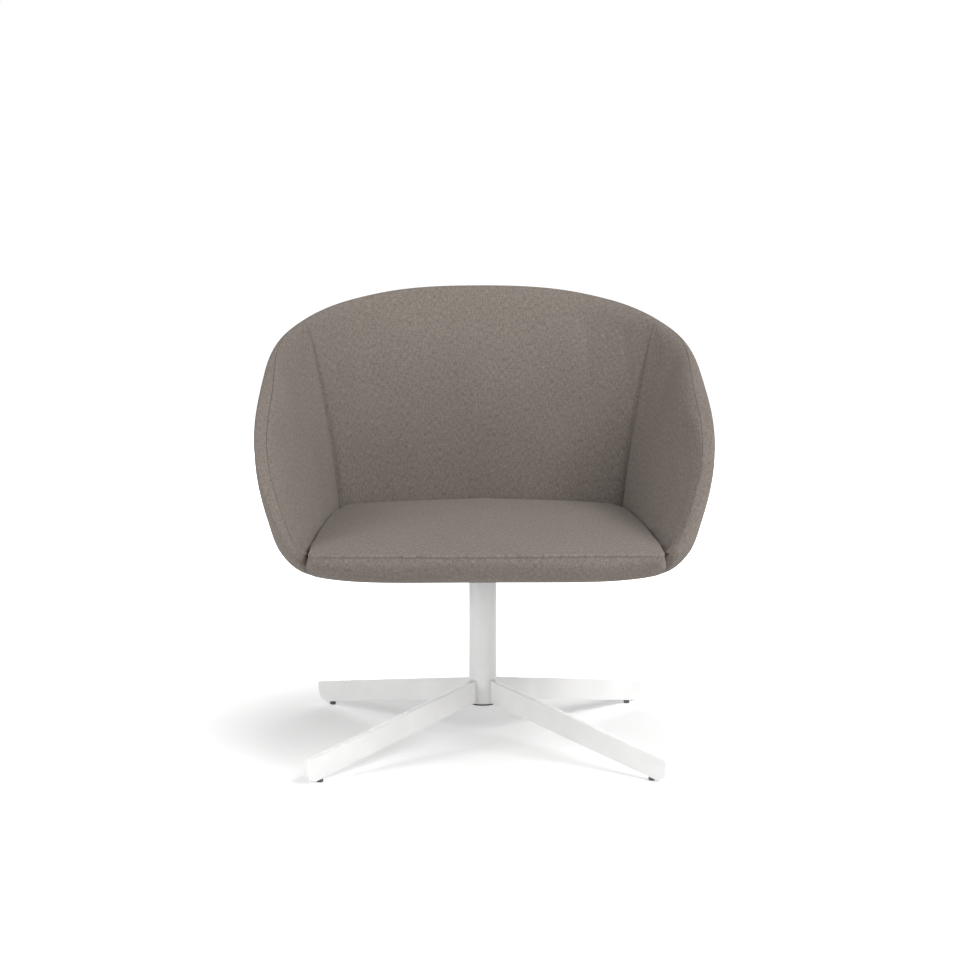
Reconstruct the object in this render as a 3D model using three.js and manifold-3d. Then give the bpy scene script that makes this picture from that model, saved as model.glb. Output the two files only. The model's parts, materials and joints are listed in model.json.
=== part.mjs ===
// Pedestal swivel armchair: an upholstered bucket shell that turns on a column with four flat legs
// Millimetres, +Z up, +Y towards the back of the chair, origin on the floor under the column
import * as THREE from "three";
import { mergeVertices } from "three/addons/utils/BufferGeometryUtils.js";
import Module from "manifold-3d";

const wasm = await Module();
wasm.setup();

const chair = new THREE.Group();

// Clearances and mesh fineness
const SEAT_GAP = 0.3;
const LAYER_GAP = 0.5;
const RUNNING_GAP = 0.1;
const CUT_OVERRUN = 4;
const ANGLE_STEPS = 30;
const ROUND_SEGMENTS = 36;
const SMALL_SEGMENTS = 16;
const BISECTIONS = 36;
const HALF_WAY = 0.5;

// Bucket shell, outside
const HALF_WIDTH = 362;
const HALF_DEPTH = 315;
const CREST_HEIGHT = 730;
const UNDER_HEIGHT = 299;
const SHELL_HEIGHT = CREST_HEIGHT - UNDER_HEIGHT;
const SIDE_STEP = HALF_WIDTH / 1000;

// Plan outline: a superellipse that is rounder at the back and underneath, and squarer at the front
const BACK_POWER = 2.5;
const FRONT_POWER = 7;
const FRONT_TAPER_SHARE = 0.034;
const frontPowerShares = [1, 1, 1, 1, 1, 1, 1, 0.96, 0.8, 0.55, 0.36];

// Each level of the shell from its crest down: height of the sides and back, height of the front,
// as shares of the shell's height, then half width, back depth and front depth as shares of theirs
const levelShares = [
  [1.023, 1.023, 0.912, 0.946, 0.762],
  [0.884, 0.884, 0.936, 0.986, 0.832],
  [0.722, 0.722, 0.972, 1.0, 0.895],
  [0.559, 0.559, 1.0, 0.98, 0.94],
  [0.397, 0.397, 0.994, 0.928, 0.971],
  [0.234, 0.239, 0.948, 0.846, 0.997],
  [0.118, 0.132, 0.895, 0.772, 0.997],
  [0.058, 0.081, 0.831, 0.702, 0.965],
  [0.026, 0.052, 0.724, 0.61, 0.9],
  [0.009, 0.028, 0.586, 0.485, 0.756],
  [0, 0, 0.331, 0.36, 0.39],
];

// The rim seen from the side: depth as a share of the half depth, height as a share of the shell's
const rimShares = [
  [-1.048, 0.002],
  [-0.952, 0.06],
  [-0.914, 0.107],
  [-0.883, 0.169],
  [-0.832, 0.253],
  [-0.762, 0.336],
  [-0.651, 0.436],
  [-0.413, 0.573],
  [-0.095, 0.698],
  [0.286, 0.814],
  [0.571, 0.884],
  [0.746, 0.933],
  [0.857, 0.966],
  [0.927, 0.991],
  [0.956, 1.001],
  [1.048, 1.035],
];

// Front opening: the arms end at one angle and the lip under the seat starts at the other
const ARM_END = THREE.MathUtils.degToRad(-43);
const LIP_START = THREE.MathUtils.degToRad(-45.5);
const LIP_STATION_SHARE = 0.82;
const FOOT_STATION_SHARE = 0.675;
const LIP_FOOT_SHARE = 0.04;

// Layers of the shell, counted inward from its outer skin
const COVER_THICKNESS = 5;
const EDGE_THICKNESS = 24;
const EDGE_TAPER_START = THREE.MathUtils.degToRad(-33);
const EDGE_ROUND = 8;
const EDGE_DEPTH = 5;
const MOULD_THICKNESS = 6;
const MOULD_START = COVER_THICKNESS + LAYER_GAP;
const MOULD_END = MOULD_START + MOULD_THICKNESS;
const LIP_THICKNESS = MOULD_END + LAYER_GAP;
const PAD_START = MOULD_END + LAYER_GAP;
const SEAM_GAP = 3;
const PAD_TOP_DROP = EDGE_DEPTH + SEAM_GAP;

// Inner pads: how far their foot stands inward from the skin at the arm's front, middle and crease
const CREASE = THREE.MathUtils.degToRad(28);
const PAD_FRONT_DEPTH = 36;
const PAD_MIDDLE_DEPTH = 68;
const PAD_CREASE_DEPTH = 34;
const BACK_PAD_DEPTH = 62;
const PANEL_CROWN_SHARE = 0.016;
const PAD_SPLIT_GAP = 1.2;

// Seat cushion
const CUSHION_GAP = 3;
const CUSHION_SIDE_HEIGHT = 29.4;
const CUSHION_CROWN_RISE = 21;
const CUSHION_SHOULDER = 5;
const CUSHION_CROWN_POWER = 4;
const CUSHION_WAIST_INSET = 1;
const CUSHION_BASE_INSET = 72;
const SEAT_FRONT = 308;
const SEAT_FRONT_BOW = 7;
const FRONT_BOW_POWER = 8;
const FASCIA_DROP = 7;
const FASCIA_THICKNESS = 24;
const CUSHION_TUCK = 9;
const CORNER_POWER = 22;
const CORNER_ANGLE = THREE.MathUtils.degToRad(-46);
const CORNER_SPREAD = THREE.MathUtils.degToRad(13);
const CORNER_LIFT = 10;

// Base
const COLUMN_RADIUS = 22.5;
const COLUMN_WALL = 3;
const COLUMN_BOTTOM = 65;
const LEG_THICKNESS = 10;
const LEG_HEIGHT = 37;
const LEG_TOP = 103.5;
const LEG_REACH = 395;
const LEG_TOE_RUN = 24;
const LEG_TOE_RISE = 27;
const LEG_TOP_CORNER = 4;
const LEG_CURVE_SEGMENTS = 6;
const LEG_ANGLES = [45, 135, 225, 315];
const legNames = ["rear_right", "rear_left", "front_left", "front_right"];
const GLIDE_INSET = 32;
const GLIDE_HEIGHT = 5.2;
const GLIDE_RADIUS = 5;
const GLIDE_STUD_RADIUS = 2.5;
const GLIDE_STUD_DEPTH = 14;
const GLIDE_REACH = LEG_REACH - GLIDE_INSET;
const LEG_FALL = LEG_TOP - LEG_HEIGHT - SEAT_GAP - GLIDE_HEIGHT;
const LEG_SLOPE = LEG_FALL / (GLIDE_REACH - COLUMN_RADIUS);

// Swivel
const SPINDLE_RADIUS = 14;
const SPINDLE_CHAMFER = 1.5;
const HUB_RADIUS = 35;
const HUB_THICKNESS = 12;
const RACE_THICKNESS = 2;
const BALL_RADIUS = 2;
const BALL_COUNT = 12;
const BALL_SEGMENTS = 6;
const CAGE_THICKNESS = 2.4;
const BUSH_FLANGE = 3;
const UPPER_BUSH_LENGTH = 38;
const LOWER_BUSH_LENGTH = 28;
const PLUG_FLANGE = 2;
const PLUG_LENGTH = 12;
const PLUG_WALL = 2.5;
const SPINDLE_END_ROOM = 5;
const CLIP_THICKNESS = 1.6;
const CLIP_GROOVE_DEPTH = 1.2;
const CLIP_WIDTH = 4;
const CLIP_SEGMENTS = 24;
const CLIP_MOUTH = THREE.MathUtils.degToRad(50);
const SPINDLE_TAIL = 5;
const WASHER_THICKNESS = 2;

// Seat fixing
const PLATE_RADIUS = 95;
const PLATE_THICKNESS = 6;
const BOLT_CIRCLE = 70;
const BOLT_RADIUS = 4;
const BOLT_HEAD_RADIUS = 8;
const BOLT_HEAD_THICKNESS = 4;
const BOLT_SOCKET_RADIUS = 2.5;
const BOLT_SOCKET_DEPTH = 2.5;
const BOLT_SOCKET_SIDES = 6;
const BOLT_ANGLES = [45, 135, 225, 315];
const boltNames = ["rear_right", "rear_left", "front_left", "front_right"];
const INSERT_WALL = 1.3;
const INSERT_FLANGE_RADIUS = 11;
const INSERT_FLANGE_THICKNESS = 1.5;
const BOARD_THICKNESS = 15;
const BOARD_LIFT = 2;
const UNDER_CLOTH_THICKNESS = 1.2;
const UNDER_CLOTH_OVERLAP = 14;

// Heights that follow from the sizes above
const PLATE_TOP = UNDER_HEIGHT + MOULD_START - SEAT_GAP;
const PLATE_BOTTOM = PLATE_TOP - PLATE_THICKNESS;
const HUB_TOP = PLATE_BOTTOM - SEAT_GAP;
const HUB_BOTTOM = HUB_TOP - HUB_THICKNESS;
const UPPER_RACE_BOTTOM = HUB_BOTTOM - SEAT_GAP - RACE_THICKNESS;
const BALL_CENTRE = UPPER_RACE_BOTTOM - SEAT_GAP - BALL_RADIUS;
const LOWER_RACE_TOP = BALL_CENTRE - BALL_RADIUS - SEAT_GAP;
const BUSH_TOP = LOWER_RACE_TOP - RACE_THICKNESS - SEAT_GAP;
const COLUMN_TOP = BUSH_TOP - BUSH_FLANGE - SEAT_GAP;
const BORE_RADIUS = COLUMN_RADIUS - COLUMN_WALL;
const BUSH_OUTER = BORE_RADIUS - SEAT_GAP;
const BUSH_INNER = SPINDLE_RADIUS + RUNNING_GAP;
const PLUG_TOP = COLUMN_BOTTOM + PLUG_LENGTH;
const SPINDLE_BOTTOM = PLUG_TOP - PLUG_LENGTH + PLUG_WALL + SPINDLE_END_ROOM;
const GROOVE_BOTTOM = SPINDLE_BOTTOM + SPINDLE_TAIL;
const GROOVE_TOP = GROOVE_BOTTOM + CLIP_THICKNESS + SEAT_GAP + SEAT_GAP;
const WASHER_BOTTOM = GROOVE_TOP + SEAT_GAP;
const LOWER_BUSH_BOTTOM = WASHER_BOTTOM + WASHER_THICKNESS + SEAT_GAP;
const BOARD_BOTTOM = UNDER_HEIGHT + MOULD_END + BOARD_LIFT;
const BOARD_TOP = BOARD_BOTTOM + BOARD_THICKNESS;
const INSERT_TOP = BOARD_TOP + SEAT_GAP + INSERT_FLANGE_THICKNESS;
const CUSHION_BOTTOM = INSERT_TOP + SEAT_GAP;
const CUSHION_EDGE_HEIGHT = CUSHION_BOTTOM + CUSHION_SIDE_HEIGHT;
const CUSHION_CROWN_HEIGHT = CUSHION_EDGE_HEIGHT + CUSHION_CROWN_RISE;
const BOLT_TOP = BOARD_TOP - LAYER_GAP;

// Materials: one colour, roughness and metalness for each kind of surface
function finish(color, roughness, metalness) {
  return { color, roughness, metalness };
}
const FABRIC = finish(0x827a73, 0.95, 0);
const WHITE_PAINT = finish(0xf2f1ee, 0.4, 0.1);
const GLIDE_PLASTIC = finish(0x55565a, 0.6, 0);
const BUSH_PLASTIC = finish(0x303236, 0.5, 0);
const STEEL = finish(0xa9adb1, 0.35, 0.9);
const PLYWOOD = finish(0xc49a6a, 0.7, 0);
const MOULDING = finish(0x3b3d40, 0.6, 0);
const FELT = finish(0x1d1d1f, 1, 0);

function addNode(name, geometry, look) {
  const mesh = new THREE.Mesh(geometry, new THREE.MeshStandardMaterial(look));
  mesh.name = name;
  chair.add(mesh);
  return mesh;
}

// A closed body from its points and triangles, turned so that its faces point out
function bodyGeometry(points, triangles) {
  let volume = 0;
  for (const [a, b, c] of triangles) {
    volume += points[a].clone().cross(points[b]).dot(points[c]);
  }
  const positions = points.flatMap((p) => [p.x, p.y, p.z]);
  const index = triangles.flatMap(([a, b, c]) => (volume > 0 ? [a, b, c] : [a, c, b]));
  const geometry = new THREE.BufferGeometry();
  geometry.setAttribute("position", new THREE.Float32BufferAttribute(positions, 3));
  geometry.setIndex(index);
  geometry.computeVertexNormals();
  return geometry;
}

// Boolean cuts and joins on position-only meshes
function toManifold(geometry) {
  const bare = geometry.clone();
  bare.deleteAttribute("normal");
  bare.deleteAttribute("uv");
  const merged = mergeVertices(bare, SEAT_GAP / 1000);
  const corners = Array.from(merged.index.array);
  const triVerts = [];
  for (let i = 0; i < corners.length; i += 3) {
    const [a, b, c] = corners.slice(i, i + 3);
    if (a !== b && b !== c && c !== a) triVerts.push(a, b, c);
  }
  const vertProperties = new Float32Array(merged.attributes.position.array);
  const mesh = new wasm.Mesh({ numProp: 3, vertProperties, triVerts: new Uint32Array(triVerts) });
  return new wasm.Manifold(mesh);
}

function fromManifold(solid) {
  const mesh = solid.getMesh();
  const geometry = new THREE.BufferGeometry();
  geometry.setAttribute("position", new THREE.Float32BufferAttribute(Array.from(mesh.vertProperties), 3));
  geometry.setIndex(Array.from(mesh.triVerts));
  geometry.computeVertexNormals();
  return geometry;
}

function cut(geometry, tools) {
  return fromManifold(tools.reduce((solid, tool) => solid.subtract(toManifold(tool)), toManifold(geometry)));
}

function join(geometry, others) {
  return fromManifold(others.reduce((solid, other) => solid.add(toManifold(other)), toManifold(geometry)));
}

// A turned piece about the Z axis from [radius, height] pairs
function turned(profile, segments = ROUND_SEGMENTS) {
  const points = profile.map(([radius, height]) => new THREE.Vector2(radius, height));
  const geometry = new THREE.LatheGeometry(points, segments);
  geometry.rotateX(Math.PI / 2);
  return geometry;
}

function ring(inner, outer, bottom, top, segments = ROUND_SEGMENTS) {
  return turned([[inner, bottom], [outer, bottom], [outer, top], [inner, top], [inner, bottom]], segments);
}

function disc(radius, bottom, top, segments = ROUND_SEGMENTS) {
  return turned([[0, bottom], [radius, bottom], [radius, top], [0, top]], segments);
}

// A smooth curve through values at their stations
function through(stations, values, at) {
  const last = stations.length - 1;
  const t = THREE.MathUtils.clamp(at, stations[0], stations[last]);
  let k = 0;
  while (k < last - 1 && stations[k + 1] < t) k += 1;
  const slope = (i) => (values[i + 1] - values[i]) / (stations[i + 1] - stations[i]);
  const tangent = (i) => {
    if (i === 0) return slope(0);
    if (i === last) return slope(last - 1);
    const before = stations[i] - stations[i - 1];
    const after = stations[i + 1] - stations[i];
    return (slope(i - 1) * after + slope(i) * before) / (before + after);
  };
  const width = stations[k + 1] - stations[k];
  const s = (t - stations[k]) / width;
  const rise = s * s * (3 - 2 * s);
  const bend = tangent(k) * s * (1 - s) * (1 - s) - tangent(k + 1) * s * s * (1 - s);
  return values[k] + (values[k + 1] - values[k]) * rise + width * bend;
}

function smoothRamp(x) {
  const s = THREE.MathUtils.clamp(x, 0, 1);
  return s * s * (3 - 2 * s);
}

// The value between low and high where test turns from true to false
function boundary(low, high, test) {
  for (let i = 0; i < BISECTIONS; i += 1) {
    const middle = (low + high) / 2;
    if (test(middle)) low = middle;
    else high = middle;
  }
  return (low + high) / 2;
}

// Shell surface: ribs in upright planes round the column, measured along the side profile
const sideHeights = levelShares.map((row) => UNDER_HEIGHT + row[0] * SHELL_HEIGHT);
const frontHeights = levelShares.map((row) => UNDER_HEIGHT + row[1] * SHELL_HEIGHT);
const halfWidths = levelShares.map((row) => row[2] * HALF_WIDTH);
const backDepths = levelShares.map((row) => row[3] * HALF_DEPTH);
const frontDepths = levelShares.map((row) => row[4] * HALF_DEPTH);
const frontPowers = frontPowerShares.map((share) => share * FRONT_POWER);
const stations = [0];
for (let i = 1; i < levelShares.length; i += 1) {
  const step = Math.hypot(sideHeights[i] - sideHeights[i - 1], halfWidths[i] - halfWidths[i - 1]);
  stations.push(stations[i - 1] + step);
}
const RIB_LENGTH = stations[stations.length - 1];
const LIP_STATION = LIP_STATION_SHARE * RIB_LENGTH;
const FOOT_STATION = FOOT_STATION_SHARE * RIB_LENGTH;
const rimDepths = rimShares.map((row) => row[0] * HALF_DEPTH);
const rimHeights = rimShares.map((row) => UNDER_HEIGHT + row[1] * SHELL_HEIGHT);

function skinPoint(angle, station) {
  const across = Math.cos(angle);
  const along = Math.sin(angle);
  const atBack = along > 0;
  const halfWidth = through(stations, halfWidths, station);
  const depth = through(stations, atBack ? backDepths : frontDepths, station);
  const power = atBack ? BACK_POWER : through(stations, frontPowers, station);
  const side = Math.abs(across / halfWidth) ** power + Math.abs(along / depth) ** power;
  const radius = side ** (-1 / power);
  const sideHeight = through(stations, sideHeights, station);
  const endHeight = through(stations, atBack ? sideHeights : frontHeights, station);
  const y = radius * along;
  const taper = 1 - FRONT_TAPER_SHARE * (Math.min(0, y) / HALF_DEPTH) ** 2;
  const height = sideHeight * across * across + endHeight * along * along;
  return new THREE.Vector3(radius * across * taper, y, height);
}

// A point under the skin, measured square to the rib
function layerPoint(angle, station, depth) {
  const point = skinPoint(angle, station);
  const low = Math.max(0, station - SIDE_STEP);
  const high = Math.min(RIB_LENGTH, station + SIDE_STEP);
  const step = skinPoint(angle, high).sub(skinPoint(angle, low));
  const outward = new THREE.Vector3(point.x, point.y, 0).normalize();
  const run = step.dot(outward);
  const inward = outward.multiplyScalar(step.z).add(new THREE.Vector3(0, 0, -run)).normalize();
  return point.addScaledVector(inward, depth);
}

// The same angle on the right-hand half, from the lip at -90 degrees to the back at 90
function foldAngle(angle) {
  return Math.asin(THREE.MathUtils.clamp(Math.sin(angle), -1, 1));
}

// The part of the way from the arms' end to the lip, 0 on the arms and back and 1 on the lip
function lipPart(angle) {
  return smoothRamp((ARM_END - foldAngle(angle)) / (ARM_END - LIP_START));
}

const rimCache = new Map();
function rimStation(angle) {
  const key = angle.toFixed(6);
  if (!rimCache.has(key)) {
    const cutStation = boundary(0, RIB_LENGTH, (station) => {
      const point = skinPoint(angle, station);
      return point.z > through(rimDepths, rimHeights, point.y);
    });
    const part = lipPart(angle);
    rimCache.set(key, cutStation * (1 - part) + LIP_STATION * part);
  }
  return rimCache.get(key);
}

// The edge strip narrows towards the arms' lower ends
function edgeThickness(angle) {
  const part = smoothRamp((EDGE_TAPER_START - foldAngle(angle)) / (EDGE_TAPER_START - ARM_END));
  return EDGE_THICKNESS * (1 - part) + LIP_THICKNESS * part;
}

// The point of a layer at a height, below the rim
function layerAtHeight(angle, height, depth) {
  const station = boundary(rimStation(angle), RIB_LENGTH, (s) => layerPoint(angle, s, depth).z > height);
  return layerPoint(angle, station, depth);
}

function planRadius(point) {
  return Math.hypot(point.x, point.y);
}

// Rows shared by every layer, so that layers nest: from under the edge strip to the pads' foot,
// then on to the end of the rib
const upperRowShares = [0, 0.16, 0.33, 0.5, 0.67, 0.84, 1];
const lowerRowShares = [0.2, 0.4, 0.65, 1];

function footStation(angle) {
  return Math.max(FOOT_STATION, rimStation(angle) + LIP_FOOT_SHARE * RIB_LENGTH);
}

function rowStations(angle, drop) {
  const top = rimStation(angle) + drop;
  const foot = footStation(angle);
  const upper = upperRowShares.map((share) => top + (foot - top) * share);
  const lower = lowerRowShares.map((share) => foot + (RIB_LENGTH - foot) * share);
  return [...upper, ...lower];
}

// Foot line of the inner pads: straight arms that meet the curved back at a crease
function footPoint(angle, depth) {
  const reach = planRadius(layerPoint(angle, FOOT_STATION, 0)) - depth;
  return new THREE.Vector2(reach * Math.cos(angle), reach * Math.sin(angle));
}
const footFront = footPoint(ARM_END, PAD_FRONT_DEPTH);
const footMiddle = footPoint(0, PAD_MIDDLE_DEPTH);
const footCrease = footPoint(CREASE, PAD_CREASE_DEPTH);
const footBack = footPoint(Math.PI / 2, BACK_PAD_DEPTH);
const BACK_CURVE = (footCrease.x * footCrease.x) / (2 * (footBack.y - footCrease.y));
const CREASE_GAP = PAD_SPLIT_GAP / planRadius(footCrease) / 2;

function footRadius(angle) {
  const folded = foldAngle(angle);
  if (folded <= CREASE) {
    const t = Math.max(folded, ARM_END);
    const front = (t * (t - CREASE)) / (ARM_END * (ARM_END - CREASE));
    const middle = ((t - ARM_END) * (t - CREASE)) / (ARM_END * CREASE);
    const rear = (t * (t - ARM_END)) / (CREASE * (CREASE - ARM_END));
    return (footFront.x * front + footMiddle.x * middle + footCrease.x * rear) / Math.cos(t);
  }
  const along = Math.sin(folded);
  const across = Math.cos(folded);
  const root = Math.sqrt(along * along + (2 * across * across * footBack.y) / BACK_CURVE);
  return (2 * footBack.y) / (along + root);
}

// The pads' inner face: ruled from the rim's inner edge to the foot line, with a slight crown
function padFace(angle, part) {
  const rim = layerPoint(angle, rimStation(angle) + PAD_TOP_DROP, edgeThickness(angle));
  const foot = layerPoint(angle, footStation(angle), PAD_START).z;
  const crown = PANEL_CROWN_SHARE * (rim.z - foot) * Math.sin(Math.PI * part);
  const reach = planRadius(rim) * (1 - part) + footRadius(angle) * part - crown;
  return new THREE.Vector3(reach * Math.cos(angle), reach * Math.sin(angle), rim.z + (foot - rim.z) * part);
}

function padRadius(angle, height) {
  const top = padFace(angle, 0).z;
  const foot = padFace(angle, 1).z;
  return planRadius(padFace(angle, THREE.MathUtils.clamp((top - height) / (top - foot), 0, 1)));
}

// Rows of points to a closed body. Each row is one rib's closed section; a sector also gets end caps.
// Every square splits along the diagonal that falls as the angle grows, so that layers split alike.
function sweptBody(sections, closed) {
  const count = sections[0].length;
  const points = sections.flat();
  const triangles = [];
  const rows = closed ? sections.length : sections.length - 1;
  for (let i = 0; i < rows; i += 1) {
    const next = (i + 1) % sections.length;
    for (let k = 0; k < count; k += 1) {
      const a = i * count + k;
      const b = i * count + ((k + 1) % count);
      const c = next * count + ((k + 1) % count);
      const d = next * count + k;
      if (points[b].z > points[a].z) triangles.push([a, b, d], [b, c, d]);
      else triangles.push([a, b, c], [a, c, d]);
    }
  }
  if (!closed) {
    const lastRow = (sections.length - 1) * count;
    for (let k = 0; k < count / 2 - 1; k += 1) {
      const a = k;
      const b = k + 1;
      const c = count - 2 - k;
      const d = count - 1 - k;
      triangles.push([a, c, b], [a, d, c]);
      triangles.push([lastRow + a, lastRow + b, lastRow + c], [lastRow + a, lastRow + c, lastRow + d]);
    }
  }
  return bodyGeometry(points, triangles);
}

// Rings of points from one pole to the other to a closed body
function poledBody(rings, firstPole, lastPole) {
  const count = rings[0].length;
  const points = [firstPole, ...rings.flat(), lastPole];
  const at = (row, k) => 1 + row * count + (k % count);
  const end = points.length - 1;
  const triangles = [];
  for (let k = 0; k < count; k += 1) {
    triangles.push([0, at(0, k + 1), at(0, k)]);
    for (let row = 0; row < rings.length - 1; row += 1) {
      const [a, b, c, d] = [at(row, k), at(row, k + 1), at(row + 1, k + 1), at(row + 1, k)];
      if (points[d].z > points[a].z) triangles.push([a, b, d], [b, c, d]);
      else triangles.push([a, b, c], [a, c, d]);
    }
    triangles.push([at(rings.length - 1, k), at(rings.length - 1, k + 1), end]);
  }
  return bodyGeometry(points, triangles);
}

// Angles round the chair: even steps, with the arms' ends, the lip's starts and the creases among them
function halfAngles() {
  const even = Array.from({ length: ANGLE_STEPS + 1 }, (_, i) => -Math.PI / 2 + (i / ANGLE_STEPS) * Math.PI);
  const special = [LIP_START, (LIP_START + ARM_END) / 2, ARM_END, CREASE - CREASE_GAP, CREASE + CREASE_GAP];
  const room = Math.PI / ANGLE_STEPS / 4;
  const kept = even.filter((angle) => special.every((other) => Math.abs(angle - other) > room));
  return [...kept, ...special].sort((a, b) => a - b);
}

const rightAngles = halfAngles();
const leftAngles = rightAngles.slice(1, -1).reverse().map((angle) => Math.PI - angle);
const allAngles = [...rightAngles, ...leftAngles];

// Outer cover: the fabric skin, with an edge strip that closes the rim down to the inner seam
function outerCover() {
  const sections = allAngles.map((angle) => {
    const rim = rimStation(angle);
    const thickness = edgeThickness(angle);
    const down = (depth, layer) => layerPoint(angle, rim + depth, layer);
    const corner = EDGE_ROUND * (1 - Math.SQRT1_2);
    const outside = rowStations(angle, EDGE_ROUND).map((station) => layerPoint(angle, station, 0));
    const rows = rowStations(angle, PAD_TOP_DROP);
    const inside = rows.map((station) => layerPoint(angle, station, COVER_THICKNESS));
    const edge = [
      down(corner, corner),
      down(0, EDGE_ROUND),
      down(0, thickness - EDGE_ROUND / 4),
      down(EDGE_ROUND / 4, thickness),
      down(EDGE_DEPTH, thickness),
      down(EDGE_DEPTH, COVER_THICKNESS),
    ];
    return [...outside.reverse(), ...edge, ...inside];
  });
  return sweptBody(sections, true);
}

// Moulded shell: the stiff bucket that everything else is fixed to
function mouldRings(depth) {
  const ribs = allAngles.map((angle) =>
    rowStations(angle, PAD_TOP_DROP).map((station) => layerPoint(angle, station, depth)),
  );
  return ribs[0].map((_, row) => ribs.map((rib) => rib[row]));
}

function mouldedShell() {
  const outside = mouldRings(MOULD_START);
  const inside = mouldRings(MOULD_END);
  const underside = new THREE.Vector3(0, 0, UNDER_HEIGHT + MOULD_START);
  const top = new THREE.Vector3(0, 0, UNDER_HEIGHT + MOULD_END);
  const body = poledBody([...outside.reverse(), ...inside], underside, top);
  return cut(body, boltPlaces(() => disc(BOLT_RADIUS + SEAT_GAP + INSERT_WALL,
    UNDER_HEIGHT, BOARD_BOTTOM + CUT_OVERRUN, SMALL_SEGMENTS)));
}

// One tool or piece at each bolt
function boltPlaces(make) {
  return BOLT_ANGLES.map((degrees) => {
    const angle = THREE.MathUtils.degToRad(degrees);
    const piece = make();
    piece.translate(BOLT_CIRCLE * Math.cos(angle), BOLT_CIRCLE * Math.sin(angle), 0);
    return piece;
  });
}

// An inner pad over some of the angles: its back on the moulded shell, its face the panel
function innerPad(angles) {
  const sections = angles.map((angle) => {
    const rows = rowStations(angle, PAD_TOP_DROP).slice(0, upperRowShares.length);
    const outside = rows.map((station) => layerPoint(angle, station, PAD_START));
    const inside = upperRowShares.map((share) => padFace(angle, share));
    return [...outside, ...inside.reverse()];
  });
  return sweptBody(sections, false);
}

// Seat cushion: crowned top, a seam at its edge, sides drawn in and a front fascia over the lip
function cushionReach(angle, height) {
  const folded = foldAngle(angle);
  const sideAngle = Math.max(folded, ARM_END);
  const panel = Math.min(padRadius(sideAngle, height), planRadius(padFace(sideAngle, HALF_WAY)));
  const sideReach = panel - CUSHION_GAP;
  const side = (sideReach * Math.cos(sideAngle)) / Math.max(Math.cos(folded), Number.EPSILON);
  if (folded >= 0) return sideReach;
  const bow = SEAT_FRONT_BOW * Math.sin(folded) ** FRONT_BOW_POWER;
  const front = (SEAT_FRONT + bow) / Math.abs(Math.sin(folded));
  return (side ** -CORNER_POWER + front ** -CORNER_POWER) ** (-1 / CORNER_POWER);
}

function cushionRing(height, inset, reachHeight) {
  return allAngles.map((angle) => {
    const reach = cushionReach(angle, reachHeight) - inset;
    return new THREE.Vector3(reach * Math.cos(angle), reach * Math.sin(angle), height(angle));
  });
}

// Drop of the front fascia below the cushion's base, greatest in the middle of the front
function fasciaDrop(angle) {
  const forward = Math.max(0, -Math.sin(angle));
  return FASCIA_DROP * smoothRamp((forward - Math.SQRT1_2) / (1 - Math.SQRT1_2));
}

// Lift of the cushion's base over the shell's front corners
function cornerLift(angle) {
  return CORNER_LIFT * smoothRamp(1 - Math.abs(foldAngle(angle) - CORNER_ANGLE) / CORNER_SPREAD);
}

function seatCushion() {
  const crownShares = [0.3, 0.6, 0.82];
  const top = crownShares.map((share) =>
    allAngles.map((angle) => {
      const reach = (cushionReach(angle, CUSHION_EDGE_HEIGHT) - CUSHION_SHOULDER) * share;
      const height = CUSHION_EDGE_HEIGHT + CUSHION_CROWN_RISE * (1 - share ** CUSHION_CROWN_POWER);
      return new THREE.Vector3(reach * Math.cos(angle), reach * Math.sin(angle), height);
    }),
  );
  const shoulder = CUSHION_EDGE_HEIGHT + CUSHION_SHOULDER;
  const waist = (CUSHION_EDGE_HEIGHT + CUSHION_BOTTOM) / 2;
  const base = (angle) => CUSHION_BOTTOM + cornerLift(angle);
  const bottom = (angle) => base(angle) - fasciaDrop(angle);
  const low = (angle) => bottom(angle) + CUSHION_TUCK / 2;
  const rings = [
    ...top,
    cushionRing(() => shoulder, CUSHION_SHOULDER, shoulder),
    cushionRing(() => CUSHION_EDGE_HEIGHT, 0, CUSHION_EDGE_HEIGHT),
    cushionRing(() => waist, CUSHION_WAIST_INSET, waist),
    cushionRing(low, CUSHION_WAIST_INSET, CUSHION_BOTTOM),
    cushionRing(bottom, CUSHION_TUCK, CUSHION_BOTTOM),
    cushionRing(bottom, FASCIA_THICKNESS, CUSHION_BOTTOM),
    cushionRing(base, FASCIA_THICKNESS + LAYER_GAP, CUSHION_BOTTOM),
    cushionRing(() => CUSHION_BOTTOM, CUSHION_BASE_INSET, CUSHION_BOTTOM),
  ];
  const crest = new THREE.Vector3(0, 0, CUSHION_CROWN_HEIGHT);
  const middle = new THREE.Vector3(0, 0, CUSHION_BOTTOM);
  return poledBody(rings, crest, middle);
}

// Seat board: plywood that follows the inside of the moulded shell
function seatBoard() {
  const outline = allAngles.map((angle) => layerAtHeight(angle, BOARD_BOTTOM, MOULD_END + LAYER_GAP));
  const shape = new THREE.Shape(outline.map((point) => new THREE.Vector2(point.x, point.y)));
  const board = new THREE.ExtrudeGeometry(shape, { depth: BOARD_THICKNESS, bevelEnabled: false });
  board.translate(0, 0, BOARD_BOTTOM);
  const barrel = BOLT_RADIUS + SEAT_GAP + INSERT_WALL + SEAT_GAP;
  return cut(board, boltPlaces(() => disc(barrel, BOARD_BOTTOM - CUT_OVERRUN, BOARD_TOP + CUT_OVERRUN,
    SMALL_SEGMENTS)));
}

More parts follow.
